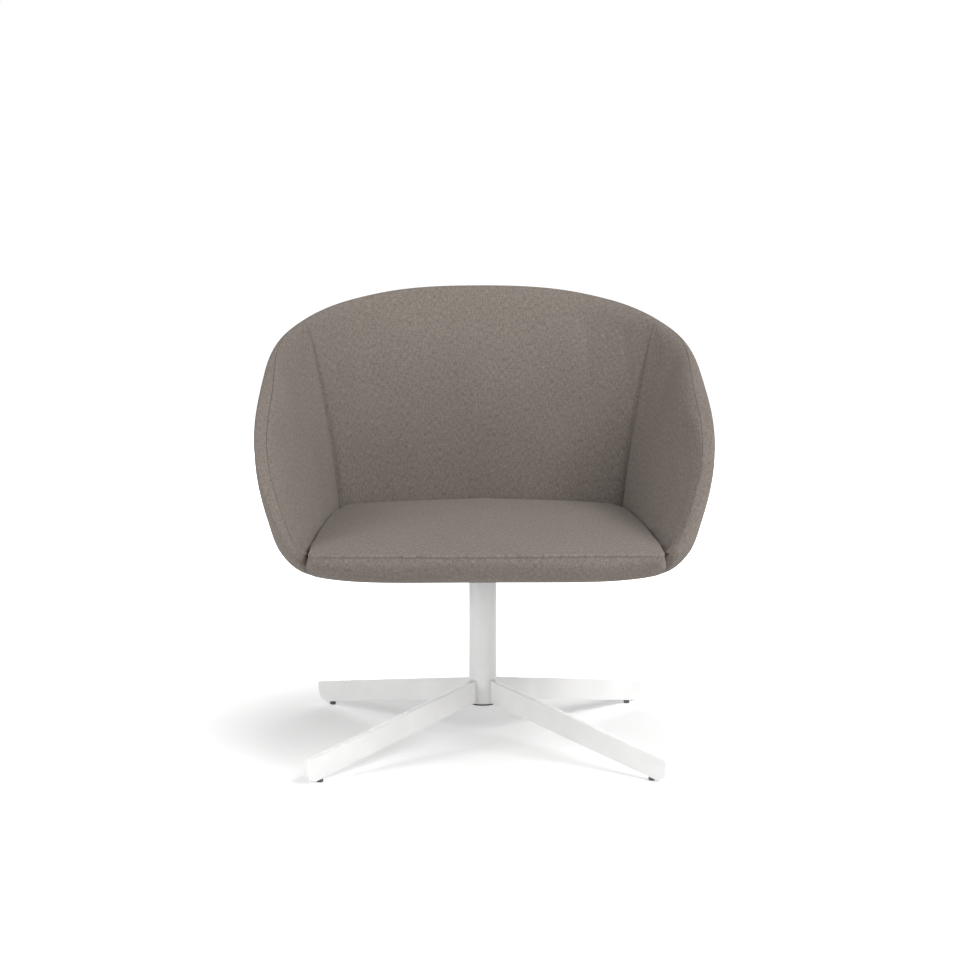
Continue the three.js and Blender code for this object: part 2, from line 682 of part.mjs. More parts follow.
// Countersunk bolt, pointing up from the mounting plate
function boltProfile(grow) {
  const head = PLATE_BOTTOM + SEAT_GAP;
  return [
    [0, head - grow],
    [BOLT_HEAD_RADIUS + grow, head - grow],
    [BOLT_HEAD_RADIUS + grow, head + SEAT_GAP],
    [BOLT_RADIUS + grow, head + BOLT_HEAD_THICKNESS],
    [BOLT_RADIUS + grow, BOLT_TOP + grow],
    [0, BOLT_TOP + grow],
  ];
}

function mountBolt() {
  const socket = disc(BOLT_SOCKET_RADIUS, PLATE_BOTTOM - CUT_OVERRUN, PLATE_BOTTOM + BOLT_SOCKET_DEPTH,
    BOLT_SOCKET_SIDES);
  return cut(turned(boltProfile(0), SMALL_SEGMENTS), [socket]);
}

function threadedInsert() {
  const bore = BOLT_RADIUS + SEAT_GAP;
  const barrel = bore + INSERT_WALL;
  const flange = BOARD_TOP + SEAT_GAP;
  return turned([
    [bore, BOARD_BOTTOM],
    [barrel, BOARD_BOTTOM],
    [barrel, flange],
    [INSERT_FLANGE_RADIUS, flange],
    [INSERT_FLANGE_RADIUS, INSERT_TOP],
    [bore, INSERT_TOP],
    [bore, BOARD_BOTTOM],
  ], SMALL_SEGMENTS);
}

function mountPlate() {
  return cut(disc(PLATE_RADIUS, PLATE_BOTTOM, PLATE_TOP), boltPlaces(() =>
    turned(boltProfile(SEAT_GAP), SMALL_SEGMENTS)));
}

// One leg: a flat plate on edge, sloping down from the column to a rounded toe
function legPlate() {
  const topAt = (r) => LEG_TOP - (r - COLUMN_RADIUS) * LEG_SLOPE;
  const bottomAt = (r) => topAt(r) - LEG_HEIGHT;
  const toe = LEG_REACH - LEG_TOE_RUN;
  const tip = bottomAt(toe) + LEG_TOE_RISE;
  const shape = new THREE.Shape();
  shape.moveTo(COLUMN_RADIUS / 2, topAt(COLUMN_RADIUS / 2));
  shape.lineTo(LEG_REACH - LEG_TOP_CORNER, topAt(LEG_REACH - LEG_TOP_CORNER));
  shape.quadraticCurveTo(LEG_REACH, topAt(LEG_REACH), LEG_REACH, topAt(LEG_REACH) - LEG_TOP_CORNER);
  shape.lineTo(LEG_REACH, tip);
  shape.quadraticCurveTo(LEG_REACH, bottomAt(LEG_REACH - LEG_TOE_RUN / 3), toe, bottomAt(toe));
  shape.lineTo(COLUMN_RADIUS / 2, bottomAt(COLUMN_RADIUS / 2));
  const plate = new THREE.ExtrudeGeometry(shape, {
    depth: LEG_THICKNESS,
    bevelEnabled: false,
    curveSegments: LEG_CURVE_SEGMENTS,
  });
  plate.translate(0, 0, -LEG_THICKNESS / 2);
  plate.rotateX(Math.PI / 2);
  const column = disc(COLUMN_RADIUS + SEAT_GAP, COLUMN_BOTTOM - LEG_HEIGHT, LEG_TOP + LEG_HEIGHT);
  const socketRadius = GLIDE_STUD_RADIUS + SEAT_GAP;
  const socketTop = bottomAt(GLIDE_REACH) + GLIDE_STUD_DEPTH + SEAT_GAP;
  const socket = disc(socketRadius, -CUT_OVERRUN, socketTop, SMALL_SEGMENTS);
  socket.translate(GLIDE_REACH, 0, 0);
  return cut(plate, [column, socket]);
}

// One glide: a pad cut to the leg's slope, with a stud that is pressed into the leg
function glide() {
  const seat = (r) => LEG_TOP - (r - COLUMN_RADIUS) * LEG_SLOPE - LEG_HEIGHT - SEAT_GAP;
  const pad = disc(GLIDE_RADIUS, 0, seat(GLIDE_REACH - GLIDE_RADIUS), SMALL_SEGMENTS);
  pad.translate(GLIDE_REACH, 0, 0);
  const inner = GLIDE_REACH - GLIDE_RADIUS - CUT_OVERRUN;
  const outer = GLIDE_REACH + GLIDE_RADIUS + CUT_OVERRUN;
  const above = seat(inner) + LEG_HEIGHT;
  const shape = new THREE.Shape();
  shape.moveTo(inner, seat(inner));
  shape.lineTo(outer, seat(outer));
  shape.lineTo(outer, above);
  shape.lineTo(inner, above);
  const wedge = new THREE.ExtrudeGeometry(shape, { depth: GLIDE_RADIUS * 4, bevelEnabled: false });
  wedge.translate(0, 0, -GLIDE_RADIUS * 2);
  wedge.rotateX(Math.PI / 2);
  const studTop = seat(GLIDE_REACH) + GLIDE_STUD_DEPTH;
  const stud = disc(GLIDE_STUD_RADIUS, seat(outer) / 2, studTop, SMALL_SEGMENTS);
  stud.translate(GLIDE_REACH, 0, 0);
  return join(cut(pad, [wedge]), [stud]);
}

// Swivel pieces
function spindle() {
  const root = SPINDLE_RADIUS - CLIP_GROOVE_DEPTH;
  return turned([
    [0, SPINDLE_BOTTOM],
    [SPINDLE_RADIUS - SPINDLE_CHAMFER, SPINDLE_BOTTOM],
    [SPINDLE_RADIUS, SPINDLE_BOTTOM + SPINDLE_CHAMFER],
    [SPINDLE_RADIUS, GROOVE_BOTTOM],
    [root, GROOVE_BOTTOM],
    [root, GROOVE_TOP],
    [SPINDLE_RADIUS, GROOVE_TOP],
    [SPINDLE_RADIUS, HUB_BOTTOM],
    [HUB_RADIUS - SPINDLE_CHAMFER, HUB_BOTTOM],
    [HUB_RADIUS, HUB_BOTTOM + SPINDLE_CHAMFER],
    [HUB_RADIUS, HUB_TOP],
    [0, HUB_TOP],
  ]);
}

function retainingClip() {
  const inner = SPINDLE_RADIUS - CLIP_GROOVE_DEPTH + SEAT_GAP;
  const outer = inner + CLIP_WIDTH;
  const shape = new THREE.Shape();
  shape.absarc(0, 0, outer, CLIP_MOUTH / 2, 2 * Math.PI - CLIP_MOUTH / 2, false);
  shape.absarc(0, 0, inner, 2 * Math.PI - CLIP_MOUTH / 2, CLIP_MOUTH / 2, true);
  const clip = new THREE.ExtrudeGeometry(shape, {
    depth: CLIP_THICKNESS,
    bevelEnabled: false,
    curveSegments: CLIP_SEGMENTS,
  });
  clip.translate(0, 0, GROOVE_BOTTOM + SEAT_GAP);
  return clip;
}

function thrustRace(bottom) {
  return ring(BUSH_INNER, COLUMN_RADIUS, bottom, bottom + RACE_THICKNESS);
}

function ballCage() {
  const middle = (BUSH_INNER + COLUMN_RADIUS) / 2;
  const reach = BALL_RADIUS + LAYER_GAP / 2;
  const body = ring(middle - reach, middle + reach, BALL_CENTRE - CAGE_THICKNESS / 2,
    BALL_CENTRE + CAGE_THICKNESS / 2);
  const balls = Array.from({ length: BALL_COUNT }, (_, i) => {
    const angle = (i / BALL_COUNT) * 2 * Math.PI;
    const ball = new THREE.SphereGeometry(BALL_RADIUS, BALL_SEGMENTS, BALL_SEGMENTS - 2);
    ball.rotateX(Math.PI / 2);
    ball.translate(middle * Math.cos(angle), middle * Math.sin(angle), BALL_CENTRE);
    return ball;
  });
  return join(body, balls);
}

function upperBush() {
  const bottom = COLUMN_TOP - UPPER_BUSH_LENGTH;
  const flange = COLUMN_TOP + SEAT_GAP;
  return turned([
    [BUSH_INNER, bottom],
    [BUSH_OUTER, bottom],
    [BUSH_OUTER, flange],
    [COLUMN_RADIUS, flange],
    [COLUMN_RADIUS, BUSH_TOP],
    [BUSH_INNER, BUSH_TOP],
    [BUSH_INNER, bottom],
  ]);
}

function columnPlug() {
  const inner = BUSH_OUTER - PLUG_WALL;
  const flangeTop = COLUMN_BOTTOM - SEAT_GAP;
  const floor = flangeTop - PLUG_FLANGE + PLUG_WALL;
  return turned([
    [0, flangeTop - PLUG_FLANGE],
    [COLUMN_RADIUS, flangeTop - PLUG_FLANGE],
    [COLUMN_RADIUS, flangeTop],
    [BUSH_OUTER, flangeTop],
    [BUSH_OUTER, PLUG_TOP],
    [inner, PLUG_TOP],
    [inner, floor],
    [0, floor],
  ]);
}

function underCloth() {
  const outer = halfWidths[halfWidths.length - 1] + UNDER_CLOTH_OVERLAP;
  const top = Math.min(PLATE_BOTTOM, UNDER_HEIGHT) - SEAT_GAP;
  return ring(HUB_RADIUS + SEAT_GAP, outer, top - UNDER_CLOTH_THICKNESS, top);
}

// Base, standing on the floor
addNode("column_tube", ring(BORE_RADIUS, COLUMN_RADIUS, COLUMN_BOTTOM, COLUMN_TOP), WHITE_PAINT);
addNode("column_end_plug", columnPlug(), BUSH_PLASTIC);
LEG_ANGLES.forEach((degrees, i) => {
  const turn = THREE.MathUtils.degToRad(degrees);
  addNode(`leg_${legNames[i]}`, legPlate(), WHITE_PAINT).rotation.z = turn;
  addNode(`glide_${legNames[i]}`, glide(), GLIDE_PLASTIC).rotation.z = turn;
});
addNode("lower_bush", ring(BUSH_INNER, BUSH_OUTER, LOWER_BUSH_BOTTOM, LOWER_BUSH_BOTTOM + LOWER_BUSH_LENGTH),
  BUSH_PLASTIC);
addNode("upper_bush", upperBush(), BUSH_PLASTIC);
addNode("thrust_race_lower", thrustRace(LOWER_RACE_TOP - RACE_THICKNESS), STEEL);
addNode("thrust_ball_cage", ballCage(), STEEL);
addNode("thrust_race_upper", thrustRace(UPPER_RACE_BOTTOM), STEEL);

// Swivelling pieces inside the column and under the seat
addNode("swivel_spindle", spindle(), STEEL);
addNode("retaining_clip", retainingClip(), STEEL);
addNode("retaining_washer", ring(BUSH_INNER, BUSH_OUTER - LAYER_GAP, WASHER_BOTTOM,
  WASHER_BOTTOM + WASHER_THICKNESS), STEEL);
addNode("seat_mount_plate", mountPlate(), STEEL);
boltPlaces(mountBolt).forEach((bolt, i) => addNode(`mount_bolt_${boltNames[i]}`, bolt, STEEL));
boltPlaces(threadedInsert).forEach((insert, i) => addNode(`threaded_insert_${boltNames[i]}`, insert, STEEL));
addNode("seat_board", seatBoard(), PLYWOOD);
addNode("under_cloth", underCloth(), FELT);

// Shell and upholstery
addNode("moulded_shell", mouldedShell(), MOULDING);
addNode("outer_cover", outerCover(), FABRIC);
addNode("back_pad", innerPad(allAngles.filter((angle) => Math.sin(angle) > Math.sin(CREASE))), FABRIC);
const armAngles = rightAngles.filter((angle) => angle >= ARM_END && angle < CREASE);
addNode("arm_pad_right", innerPad(armAngles), FABRIC);
addNode("arm_pad_left", innerPad(armAngles.map((angle) => Math.PI - angle).reverse()), FABRIC);
addNode("seat_cushion", seatCushion(), FABRIC);

export default chair;
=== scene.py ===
"""Pedestal swivel armchair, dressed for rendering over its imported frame

Lengths in the shape code are in millimetres, in the frame's own axes, and become metres as meshes are made.
The pads' and cushion's swelling, the threads, floor, lamps and camera are in metres from the start. Angles
run round the column from the chair's right towards its back.
"""

import json
import math

import bmesh
import bpy
import numpy as np
from mathutils import Matrix, Vector


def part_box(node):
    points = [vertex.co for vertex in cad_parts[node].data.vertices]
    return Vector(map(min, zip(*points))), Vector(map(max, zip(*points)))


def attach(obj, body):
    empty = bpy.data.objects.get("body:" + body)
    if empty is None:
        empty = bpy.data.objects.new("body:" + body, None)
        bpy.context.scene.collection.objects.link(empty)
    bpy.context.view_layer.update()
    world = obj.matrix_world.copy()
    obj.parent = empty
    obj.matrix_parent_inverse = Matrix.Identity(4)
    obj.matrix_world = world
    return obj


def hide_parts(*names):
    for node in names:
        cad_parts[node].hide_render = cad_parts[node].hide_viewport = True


MM = 0.001
QUARTER = math.pi / 2
TINY = 1e-9

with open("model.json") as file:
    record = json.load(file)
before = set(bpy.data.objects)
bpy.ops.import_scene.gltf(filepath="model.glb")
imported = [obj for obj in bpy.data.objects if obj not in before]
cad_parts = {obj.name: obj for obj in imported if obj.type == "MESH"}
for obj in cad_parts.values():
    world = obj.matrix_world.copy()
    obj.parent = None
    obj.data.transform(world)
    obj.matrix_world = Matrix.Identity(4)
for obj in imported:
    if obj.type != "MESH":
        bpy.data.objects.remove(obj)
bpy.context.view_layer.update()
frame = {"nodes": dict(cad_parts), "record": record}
scene = bpy.context.scene

# Bucket shell, as in the frame's solids
HALF_WIDTH = 362.0
HALF_DEPTH = 315.0
CREST_HEIGHT = 730.0
UNDER_HEIGHT = 299.0
SHELL_HEIGHT = CREST_HEIGHT - UNDER_HEIGHT
BACK_POWER = 2.5
FRONT_POWER = 7.0
FRONT_TAPER = 0.034
FRONT_POWER_SHARES = [1, 1, 1, 1, 1, 1, 1, 0.96, 0.8, 0.55, 0.36]

# Height of the sides, height of the front, half width, back depth and front depth, from the crest down
LEVELS = [
    [1.023, 1.023, 0.912, 0.946, 0.762],
    [0.884, 0.884, 0.936, 0.986, 0.832],
    [0.722, 0.722, 0.972, 1.0, 0.895],
    [0.559, 0.559, 1.0, 0.98, 0.94],
    [0.397, 0.397, 0.994, 0.928, 0.971],
    [0.234, 0.239, 0.948, 0.846, 0.997],
    [0.118, 0.132, 0.895, 0.772, 0.997],
    [0.058, 0.081, 0.831, 0.702, 0.965],
    [0.026, 0.052, 0.724, 0.61, 0.9],
    [0.009, 0.028, 0.586, 0.485, 0.756],
    [0, 0, 0.331, 0.36, 0.39],
]

# The rim seen from the side: depth and height
RIM = [
    [-1.048, 0.002], [-0.952, 0.06], [-0.914, 0.107], [-0.883, 0.169],
    [-0.832, 0.253], [-0.762, 0.336], [-0.651, 0.436], [-0.413, 0.573],
    [-0.095, 0.698], [0.286, 0.814], [0.571, 0.884], [0.746, 0.933],
    [0.857, 0.966], [0.927, 0.991], [0.956, 1.001], [1.048, 1.035],
]

ARM_END = math.radians(-44)
LIP_START = math.radians(-46.5)
LIP_STATION_SHARE = 0.82
FOOT_STATION_SHARE = 0.675
LIP_FOOT_SHARE = 0.04
CREASE = math.radians(29.5)
SLOPE_REACH = 0.4
HALVINGS = 30

# Layers, counted inward from the outer skin
COVER_THICKNESS = 5.0
EDGE_THICKNESS = 24.0
EDGE_TAPER_START = math.radians(-33)
LIP_THICKNESS = 12.0
PAD_START = 12.0
PAD_TOP_DROP = 8.0
PAD_FRONT_DEPTH = 30.0
PAD_MIDDLE_DEPTH = 62.0
PAD_CREASE_DEPTH = 35.5
BACK_PAD_DEPTH = 62.0
PANEL_CROWN = 0.016

# Outline of the seat cushion
CUSHION_GAP = 1.2
SEAM_HEIGHT = 360.0
SEAT_FRONT = 308.0
SEAT_FRONT_BOW = 7.0
SEAT_BOW_POWER = 8
FRONT_FLARE = 1.5
FRONT_FLARE_TURN = math.radians(5)
SEAT_HALF_WIDTH = 270.2
LEAST_HALF_WIDTH = 1.0
CORNER_POWER = 60


def through(places, values, at):
    """A smooth curve through values at their places"""
    places = np.asarray(places, float)
    values = np.asarray(values, float)
    at = np.clip(at, places[0], places[-1])
    k = np.clip(np.searchsorted(places, at, "left") - 1, 0, len(places) - 2)
    width = np.diff(places)
    slope = np.diff(values) / width
    inner = (slope[:-1] * width[1:] + slope[1:] * width[:-1]) / (width[:-1] + width[1:])
    tangent = np.concatenate([slope[:1], inner, slope[-1:]])
    s = (at - places[k]) / width[k]
    rise = s * s * (3 - 2 * s)
    swing = tangent[k] * s * (1 - s) ** 2 - tangent[k + 1] * s * s * (1 - s)
    return values[k] + (values[k + 1] - values[k]) * rise + width[k] * swing


def ramp(x):
    """A soft step from 0 to 1 as x goes from 0 to 1"""
    s = np.clip(x, 0, 1)
    return s * s * (3 - 2 * s)


def between(first, second, share):
    return first * (1 - share) + second * share


def bend(start, corner, end, share):
    """A point on the curve that leaves start and reaches end along the lines through their corner"""
    return (1 - share) ** 2 * start + 2 * share * (1 - share) * corner + share * share * end


levels = np.array(LEVELS, float).T
side_heights, front_heights = UNDER_HEIGHT + levels[:2] * SHELL_HEIGHT
half_widths = levels[2] * HALF_WIDTH
back_depths, front_depths = levels[3:] * HALF_DEPTH
front_powers = np.array(FRONT_POWER_SHARES) * FRONT_POWER
steps = np.hypot(np.diff(side_heights), np.diff(half_widths))
stations = np.concatenate([[0], np.cumsum(steps)])
RIB_LENGTH = stations[-1]
LIP_STATION = LIP_STATION_SHARE * RIB_LENGTH
FOOT_STATION = FOOT_STATION_SHARE * RIB_LENGTH
rim_depths = np.array(RIM)[:, 0] * HALF_DEPTH
rim_heights = UNDER_HEIGHT + np.array(RIM)[:, 1] * SHELL_HEIGHT


def skin(angle, station):
    """A point of the outer skin, at an angle round the column and a station down its rib"""
    angle, station = np.broadcast_arrays(np.asarray(angle, float), np.asarray(station, float))

    def here(values):
        return through(stations, values, station)

    across, along = np.cos(angle), np.sin(angle)
    at_back = along > 0
    depth = np.where(at_back, here(back_depths), here(front_depths))
    power = np.where(at_back, BACK_POWER, here(front_powers))
    reach = (np.abs(across / here(half_widths)) ** power + np.abs(along / depth) ** power) ** (-1 / power)
    side = here(side_heights)
    end = np.where(at_back, side, here(front_heights))
    y = reach * along
    taper = 1 - FRONT_TAPER * (np.minimum(0, y) / HALF_DEPTH) ** 2
    return np.stack([reach * across * taper, y, side * across**2 + end * along**2], -1)


def layer(angle, station, depth):
    """A point under the skin, measured square to the rib"""
    angle, station, depth = np.broadcast_arrays(angle, station, depth)
    point = skin(angle, station)
    above = skin(angle, np.maximum(0, station - SLOPE_REACH))
    step = skin(angle, np.minimum(RIB_LENGTH, station + SLOPE_REACH)) - above
    plan = point[..., :2] / np.linalg.norm(point[..., :2], axis=-1, keepdims=True)
    run = (step[..., :2] * plan).sum(-1)
    inward = np.concatenate([plan * step[..., 2:], -run[..., None]], -1)
    inward /= np.linalg.norm(inward, axis=-1, keepdims=True)
    return point + inward * depth[..., None]


def ring_at(angle, reach, height):
    """Points at their angle, reach and height about the column"""
    return np.stack(np.broadcast_arrays(reach * np.cos(angle), reach * np.sin(angle), height), -1)


def plan_radius(point):
    return np.hypot(point[..., 0], point[..., 1])


def fold(angle):
    """The angle on the right half that mirrors an angle on either half"""
    return np.arcsin(np.clip(np.sin(angle), -1, 1))


def last_held(low, high, test):
    """The station between low and high down to which a test holds"""
    for _ in range(HALVINGS):
        middle = (low + high) / 2
        holds = test(middle)
        low, high = np.where(holds, middle, low), np.where(holds, high, middle)
    return low


def rim_station(angle):
    """The station at which the skin meets the rim. Between the arms it is the lip under the cushion."""
    angle = np.asarray(angle, float)

    def over_rim(station):
        point = skin(angle, station)
        return point[..., 2] > through(rim_depths, rim_heights, point[..., 1])

    rim = last_held(0.0, RIB_LENGTH, over_rim)
    return between(rim, LIP_STATION, ramp((ARM_END - fold(angle)) / (ARM_END - LIP_START)))


def edge_thickness(angle):
    part = ramp((EDGE_TAPER_START - fold(angle)) / (EDGE_TAPER_START - ARM_END))
    return between(EDGE_THICKNESS, LIP_THICKNESS, part)


def foot_station(angle):
    return np.maximum(FOOT_STATION, rim_station(angle) + LIP_FOOT_SHARE * RIB_LENGTH)


def foot_point(angle, depth):
    """Where the pads' foot line runs at an angle, seen from above"""
    reach = float(plan_radius(layer(angle, FOOT_STATION, 0.0))) - depth
    return reach * math.cos(angle), reach * math.sin(angle)


foot_front = foot_point(ARM_END, PAD_FRONT_DEPTH)
foot_middle = foot_point(0.0, PAD_MIDDLE_DEPTH)
foot_crease = foot_point(CREASE, PAD_CREASE_DEPTH)
foot_back = foot_point(QUARTER, BACK_PAD_DEPTH)
BACK_CURVE = foot_crease[0] ** 2 / (2 * (foot_back[1] - foot_crease[1]))


def foot_radius(angle):
    """Foot line of the inner pads: gently bowed arms that meet the curved back at a crease"""
    folded = fold(angle)
    t = np.clip(folded, ARM_END, CREASE)
    front = t * (t - CREASE) / (ARM_END * (ARM_END - CREASE))
    middle = (t - ARM_END) * (t - CREASE) / (ARM_END * CREASE)
    rear = t * (t - ARM_END) / (CREASE * (CREASE - ARM_END))
    arm = (foot_front[0] * front + foot_middle[0] * middle + foot_crease[0] * rear) / np.cos(t)
    along, across = np.sin(folded), np.cos(folded)
    root = np.sqrt(np.maximum(0, along**2 + 2 * across**2 * foot_back[1] / BACK_CURVE))
    back = 2 * foot_back[1] / np.maximum(along + root, TINY)
    return np.where(folded <= CREASE, arm, back)


def pad_face(angle, part):
    """The pads' inner face: ruled from the rim's inner edge to the foot line, with a slight crown"""
    angle, part = np.broadcast_arrays(np.asarray(angle, float), np.asarray(part, float))
    rim = layer(angle, rim_station(angle) + PAD_TOP_DROP, edge_thickness(angle))
    foot = layer(angle, foot_station(angle), PAD_START)[..., 2]
    crown = PANEL_CROWN * (rim[..., 2] - foot) * np.sin(math.pi * part)
    reach = between(plan_radius(rim), foot_radius(angle), part) - crown
    return ring_at(angle, reach, rim[..., 2] + (foot - rim[..., 2]) * part)


def pad_radius(angle, height):
    top, foot = pad_face(angle, 0.0)[..., 2], pad_face(angle, 1.0)[..., 2]
    return plan_radius(pad_face(angle, np.clip((top - height) / (top - foot), 0, 1)))


def cushion_reach(angle):
    """How far the cushion's seam is from the column: beside the pads, and across the open front"""
    angle = np.asarray(angle, float)
    folded = fold(angle)
    side_angle = np.maximum(folded, ARM_END)
    panel = np.minimum(pad_radius(side_angle, SEAM_HEIGHT), plan_radius(pad_face(side_angle, 0.5)))
    side_reach = np.minimum(panel - CUSHION_GAP, SEAT_HALF_WIDTH / np.cos(side_angle))
    flare = FRONT_FLARE * np.clip((ARM_END - folded) / FRONT_FLARE_TURN, 0, 1)
    half_width = np.maximum(side_reach * np.cos(side_angle) + flare, LEAST_HALF_WIDTH)
    side = half_width / np.maximum(np.cos(folded), TINY)
    bow = SEAT_FRONT_BOW * np.sin(folded) ** SEAT_BOW_POWER
    front = (SEAT_FRONT + bow) / np.maximum(np.abs(np.sin(folded)), TINY)
    both = (side**-CORNER_POWER + front**-CORNER_POWER) ** (-1 / CORNER_POWER)
    return np.where(folded >= 0, side_reach, both)


# Mesh helpers
MERGE_DIGITS = 3
SIDE_WEAVE_WIDTH = 10
SIDE_WEAVE_STEP = 1
ROLL_POINTS = 5
SWELL_FRAMES = 20
CLOTH_SETTINGS = {
    "quality": 6, "mass": 0.3, "tension_stiffness": 30, "compression_stiffness": 30,
    "shear_stiffness": 12, "bending_stiffness": 4, "use_pressure": True, "vertex_group_mass": "held",
}


def chord(points):
    """Length run from row to row of a grid of points, or from point to point of a line"""
    gaps = np.linalg.norm(np.diff(points, axis=0), axis=-1)
    return np.concatenate([np.zeros_like(gaps[:1]), np.cumsum(gaps, axis=0)])


def line_shares(points):
    """How far along its line each point is, from 0 to 1"""
    run = chord(points)
    return run / run[-1]


def add_piece(name, data, look, body):
    """Adds a mesh or a curve to the scene as one piece"""
    piece = bpy.data.objects.new(name, data)
    scene.collection.objects.link(piece)
    data.materials.append(look)
    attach(piece, body)
    return piece


def make_piece(name, points, faces, look, body, weave=None):
    """A smooth mesh piece from millimetre points, with weave places in metres for each face corner"""
    mesh = bpy.data.meshes.new(name)
    mesh.from_pydata((np.asarray(points) * MM).tolist(), [], faces)
    if weave is not None:
        weave_map = mesh.uv_layers.new(name="weave")
        weave_map.data.foreach_set("uv", (np.asarray(weave) * MM).ravel())
    outward = bmesh.new()
    outward.from_mesh(mesh)
    bmesh.ops.recalc_face_normals(outward, faces=outward.faces[:])
    outward.to_mesh(mesh)
    outward.free()
    mesh.shade_smooth()
    return add_piece(name, mesh, look, body)


class Surface:
    """Gathers grids of points into one closed mesh, each with its own weave places"""

    def __init__(self):
        self.points = []
        self.faces = []
        self.weave = []
        self.seen = {}

    def index(self, point):
        key = tuple(np.round(point, MERGE_DIGITS))
        if key not in self.seen:
            self.seen[key] = len(self.points)
            self.points.append(point)
        return self.seen[key]

    def grid(self, points, along, across, flip=False, wrap=False):
        """Adds a grid of points. along and across are its weave places, for each point or each column."""
        rows, cols = points.shape[:2]
        along, across = np.broadcast_to(along, (rows, cols)), np.broadcast_to(across, (rows, cols))
        ids = [[self.index(points[i, j]) for j in range(cols)] for i in range(rows)]
        for i in range(rows - 1):
            for j in range(cols - 1 + int(wrap)):
                k = (j + 1) % cols
                corners = [(i, j), (i, k), (i + 1, k), (i + 1, j)]
                if flip:
                    corners.reverse()
                spots = [(across[a, b], along[a, b]) for a, b in corners]
                if wrap and k == 0:
                    spots = [(across[a, -1], along[a, -1]) for a, b in corners]
                self.face([ids[a][b] for a, b in corners], spots)

    def face(self, corners, spots):
        """Adds a face between numbered points, without those that repeat"""
        kept = [n for n, v in enumerate(corners) if v not in corners[:n]]
        if len(kept) > 2:
            self.faces.append([corners[n] for n in kept])
            self.weave.extend(spots[n] for n in kept)

    def close_side(self, front, back, flip):
        """Closes the side between two lines of points that share their first point, by their lengths"""
        ahead = chord(front)
        ahead_share, behind_share = line_shares(front), line_shares(back)
        i, j = 0, 0
        while i < len(front) - 1 or j < len(back) - 1:
            back_is_done = j == len(back) - 1
            step_front = i < len(front) - 1 and (back_is_done or ahead_share[i + 1] <= behind_share[j + 1])
            corners = [front[i], back[j], front[i + 1] if step_front else back[j + 1]]
            spots = [(0, ahead[i]), (SIDE_WEAVE_WIDTH, ahead[i]), (0, ahead[i] + SIDE_WEAVE_STEP)]
            if flip:
                corners.reverse()
                spots.reverse()
            self.face([self.index(point) for point in corners], spots)
            i, j = (i + 1, j) if step_front else (i, j + 1)

    def held_but(self, free_points):
        """Marks all points to be held, apart from the free ones"""
        held = np.ones(len(self.points), bool)
        for point in free_points.reshape(-1, 3):
            held[self.index(point)] = False
        return held

    def piece(self, name):
        return make_piece(name, self.points, self.faces, fabric, "seat", self.weave)


def clustered(length, radius, spacing):
    """Places from 0 to length, close together where both ends round over"""
    edge = radius * (1 - np.cos(np.linspace(0, QUARTER, ROLL_POINTS + 1)))
    count = max(2, int(round((length - 2 * radius) / spacing)))
    middle = np.linspace(radius, length - radius, count + 1)
    return np.concatenate([edge[:-1], middle, length - edge[-2::-1]])


def rolled(distance, radius):
    """How far a surface drops back where its edge rolls over, by its distance from the edge"""
    inside = np.clip(radius - distance, 0, radius)
    return radius - np.sqrt(radius**2 - inside**2)


def grid_normals(points):
    """Unit normals of a grid of points, all on one side of it"""
    down = np.gradient(points, axis=0)
    sideways = np.gradient(points, axis=1)
    normal = np.cross(down, sideways)
    return normal / np.maximum(np.linalg.norm(normal, axis=-1, keepdims=True), TINY)


def turned_weave(across, along, degrees):
    turn = math.radians(degrees)
    c, s = math.cos(turn), math.sin(turn)
    return across * c - along * s, across * s + along * c


def inflate(piece, held, pressure, cap):
    """Swells a padded piece like stuffed fabric, moves no point over cap, in metres, and keeps the result"""
    mesh = piece.data
    start = np.zeros(len(mesh.vertices) * 3)
    mesh.vertices.foreach_get("co", start)
    start = start.reshape(-1, 3)
    group = piece.vertex_groups.new(name="held")
    group.add([int(i) for i in np.nonzero(held)[0]], 1.0, "REPLACE")
    cloth = piece.modifiers.new("swell", "CLOTH")
    for key, value in CLOTH_SETTINGS.items():
        setattr(cloth.settings, key, value)
    cloth.settings.uniform_pressure_force = pressure
    cloth.settings.effector_weights.gravity = 0
    cloth.collision_settings.use_collision = False
    cloth.point_cache.frame_start = 1
    cloth.point_cache.frame_end = SWELL_FRAMES
    for number in range(1, SWELL_FRAMES + 1):
        scene.frame_set(number)
    shaped = piece.evaluated_get(bpy.context.evaluated_depsgraph_get()).data
    moved = np.zeros(len(shaped.vertices) * 3)
    shaped.vertices.foreach_get("co", moved)
    shift = moved.reshape(-1, 3) - start
    size = np.linalg.norm(shift, axis=1, keepdims=True)
    shift *= cap * np.tanh(size / cap) / np.maximum(size, TINY)
    shift[held] = 0
    piece.modifiers.remove(cloth)
    piece.vertex_groups.clear()
    mesh.vertices.foreach_set("co", (start + shift).ravel())
    mesh.update()
    scene.frame_set(1)


def finer(piece):
    smooth = piece.modifiers.new("finer", "SUBSURF")
    smooth.levels = 1
    smooth.render_levels = 1


# Material helpers
def new_material(name):
    look = bpy.data.materials.new(name)
    look.use_nodes = True
    tree = look.node_tree
    return look, tree, tree.nodes["Principled BSDF"]


def feed(tree, socket, value):
    """Links a socket to another node's output, or sets it to a plain value"""
    if isinstance(value, bpy.types.NodeSocket):
        tree.links.new(value, socket)
    else:
        socket.default_value = value


def feed_all(tree, node, **values):
    """Feeds a node's sockets, whose names are given with _ for each space"""
    for key, value in values.items():
        feed(tree, node.inputs[key.replace("_", " ")], value)
    return node


def add(tree, kind, **values):
    return feed_all(tree, tree.nodes.new(kind), **values)


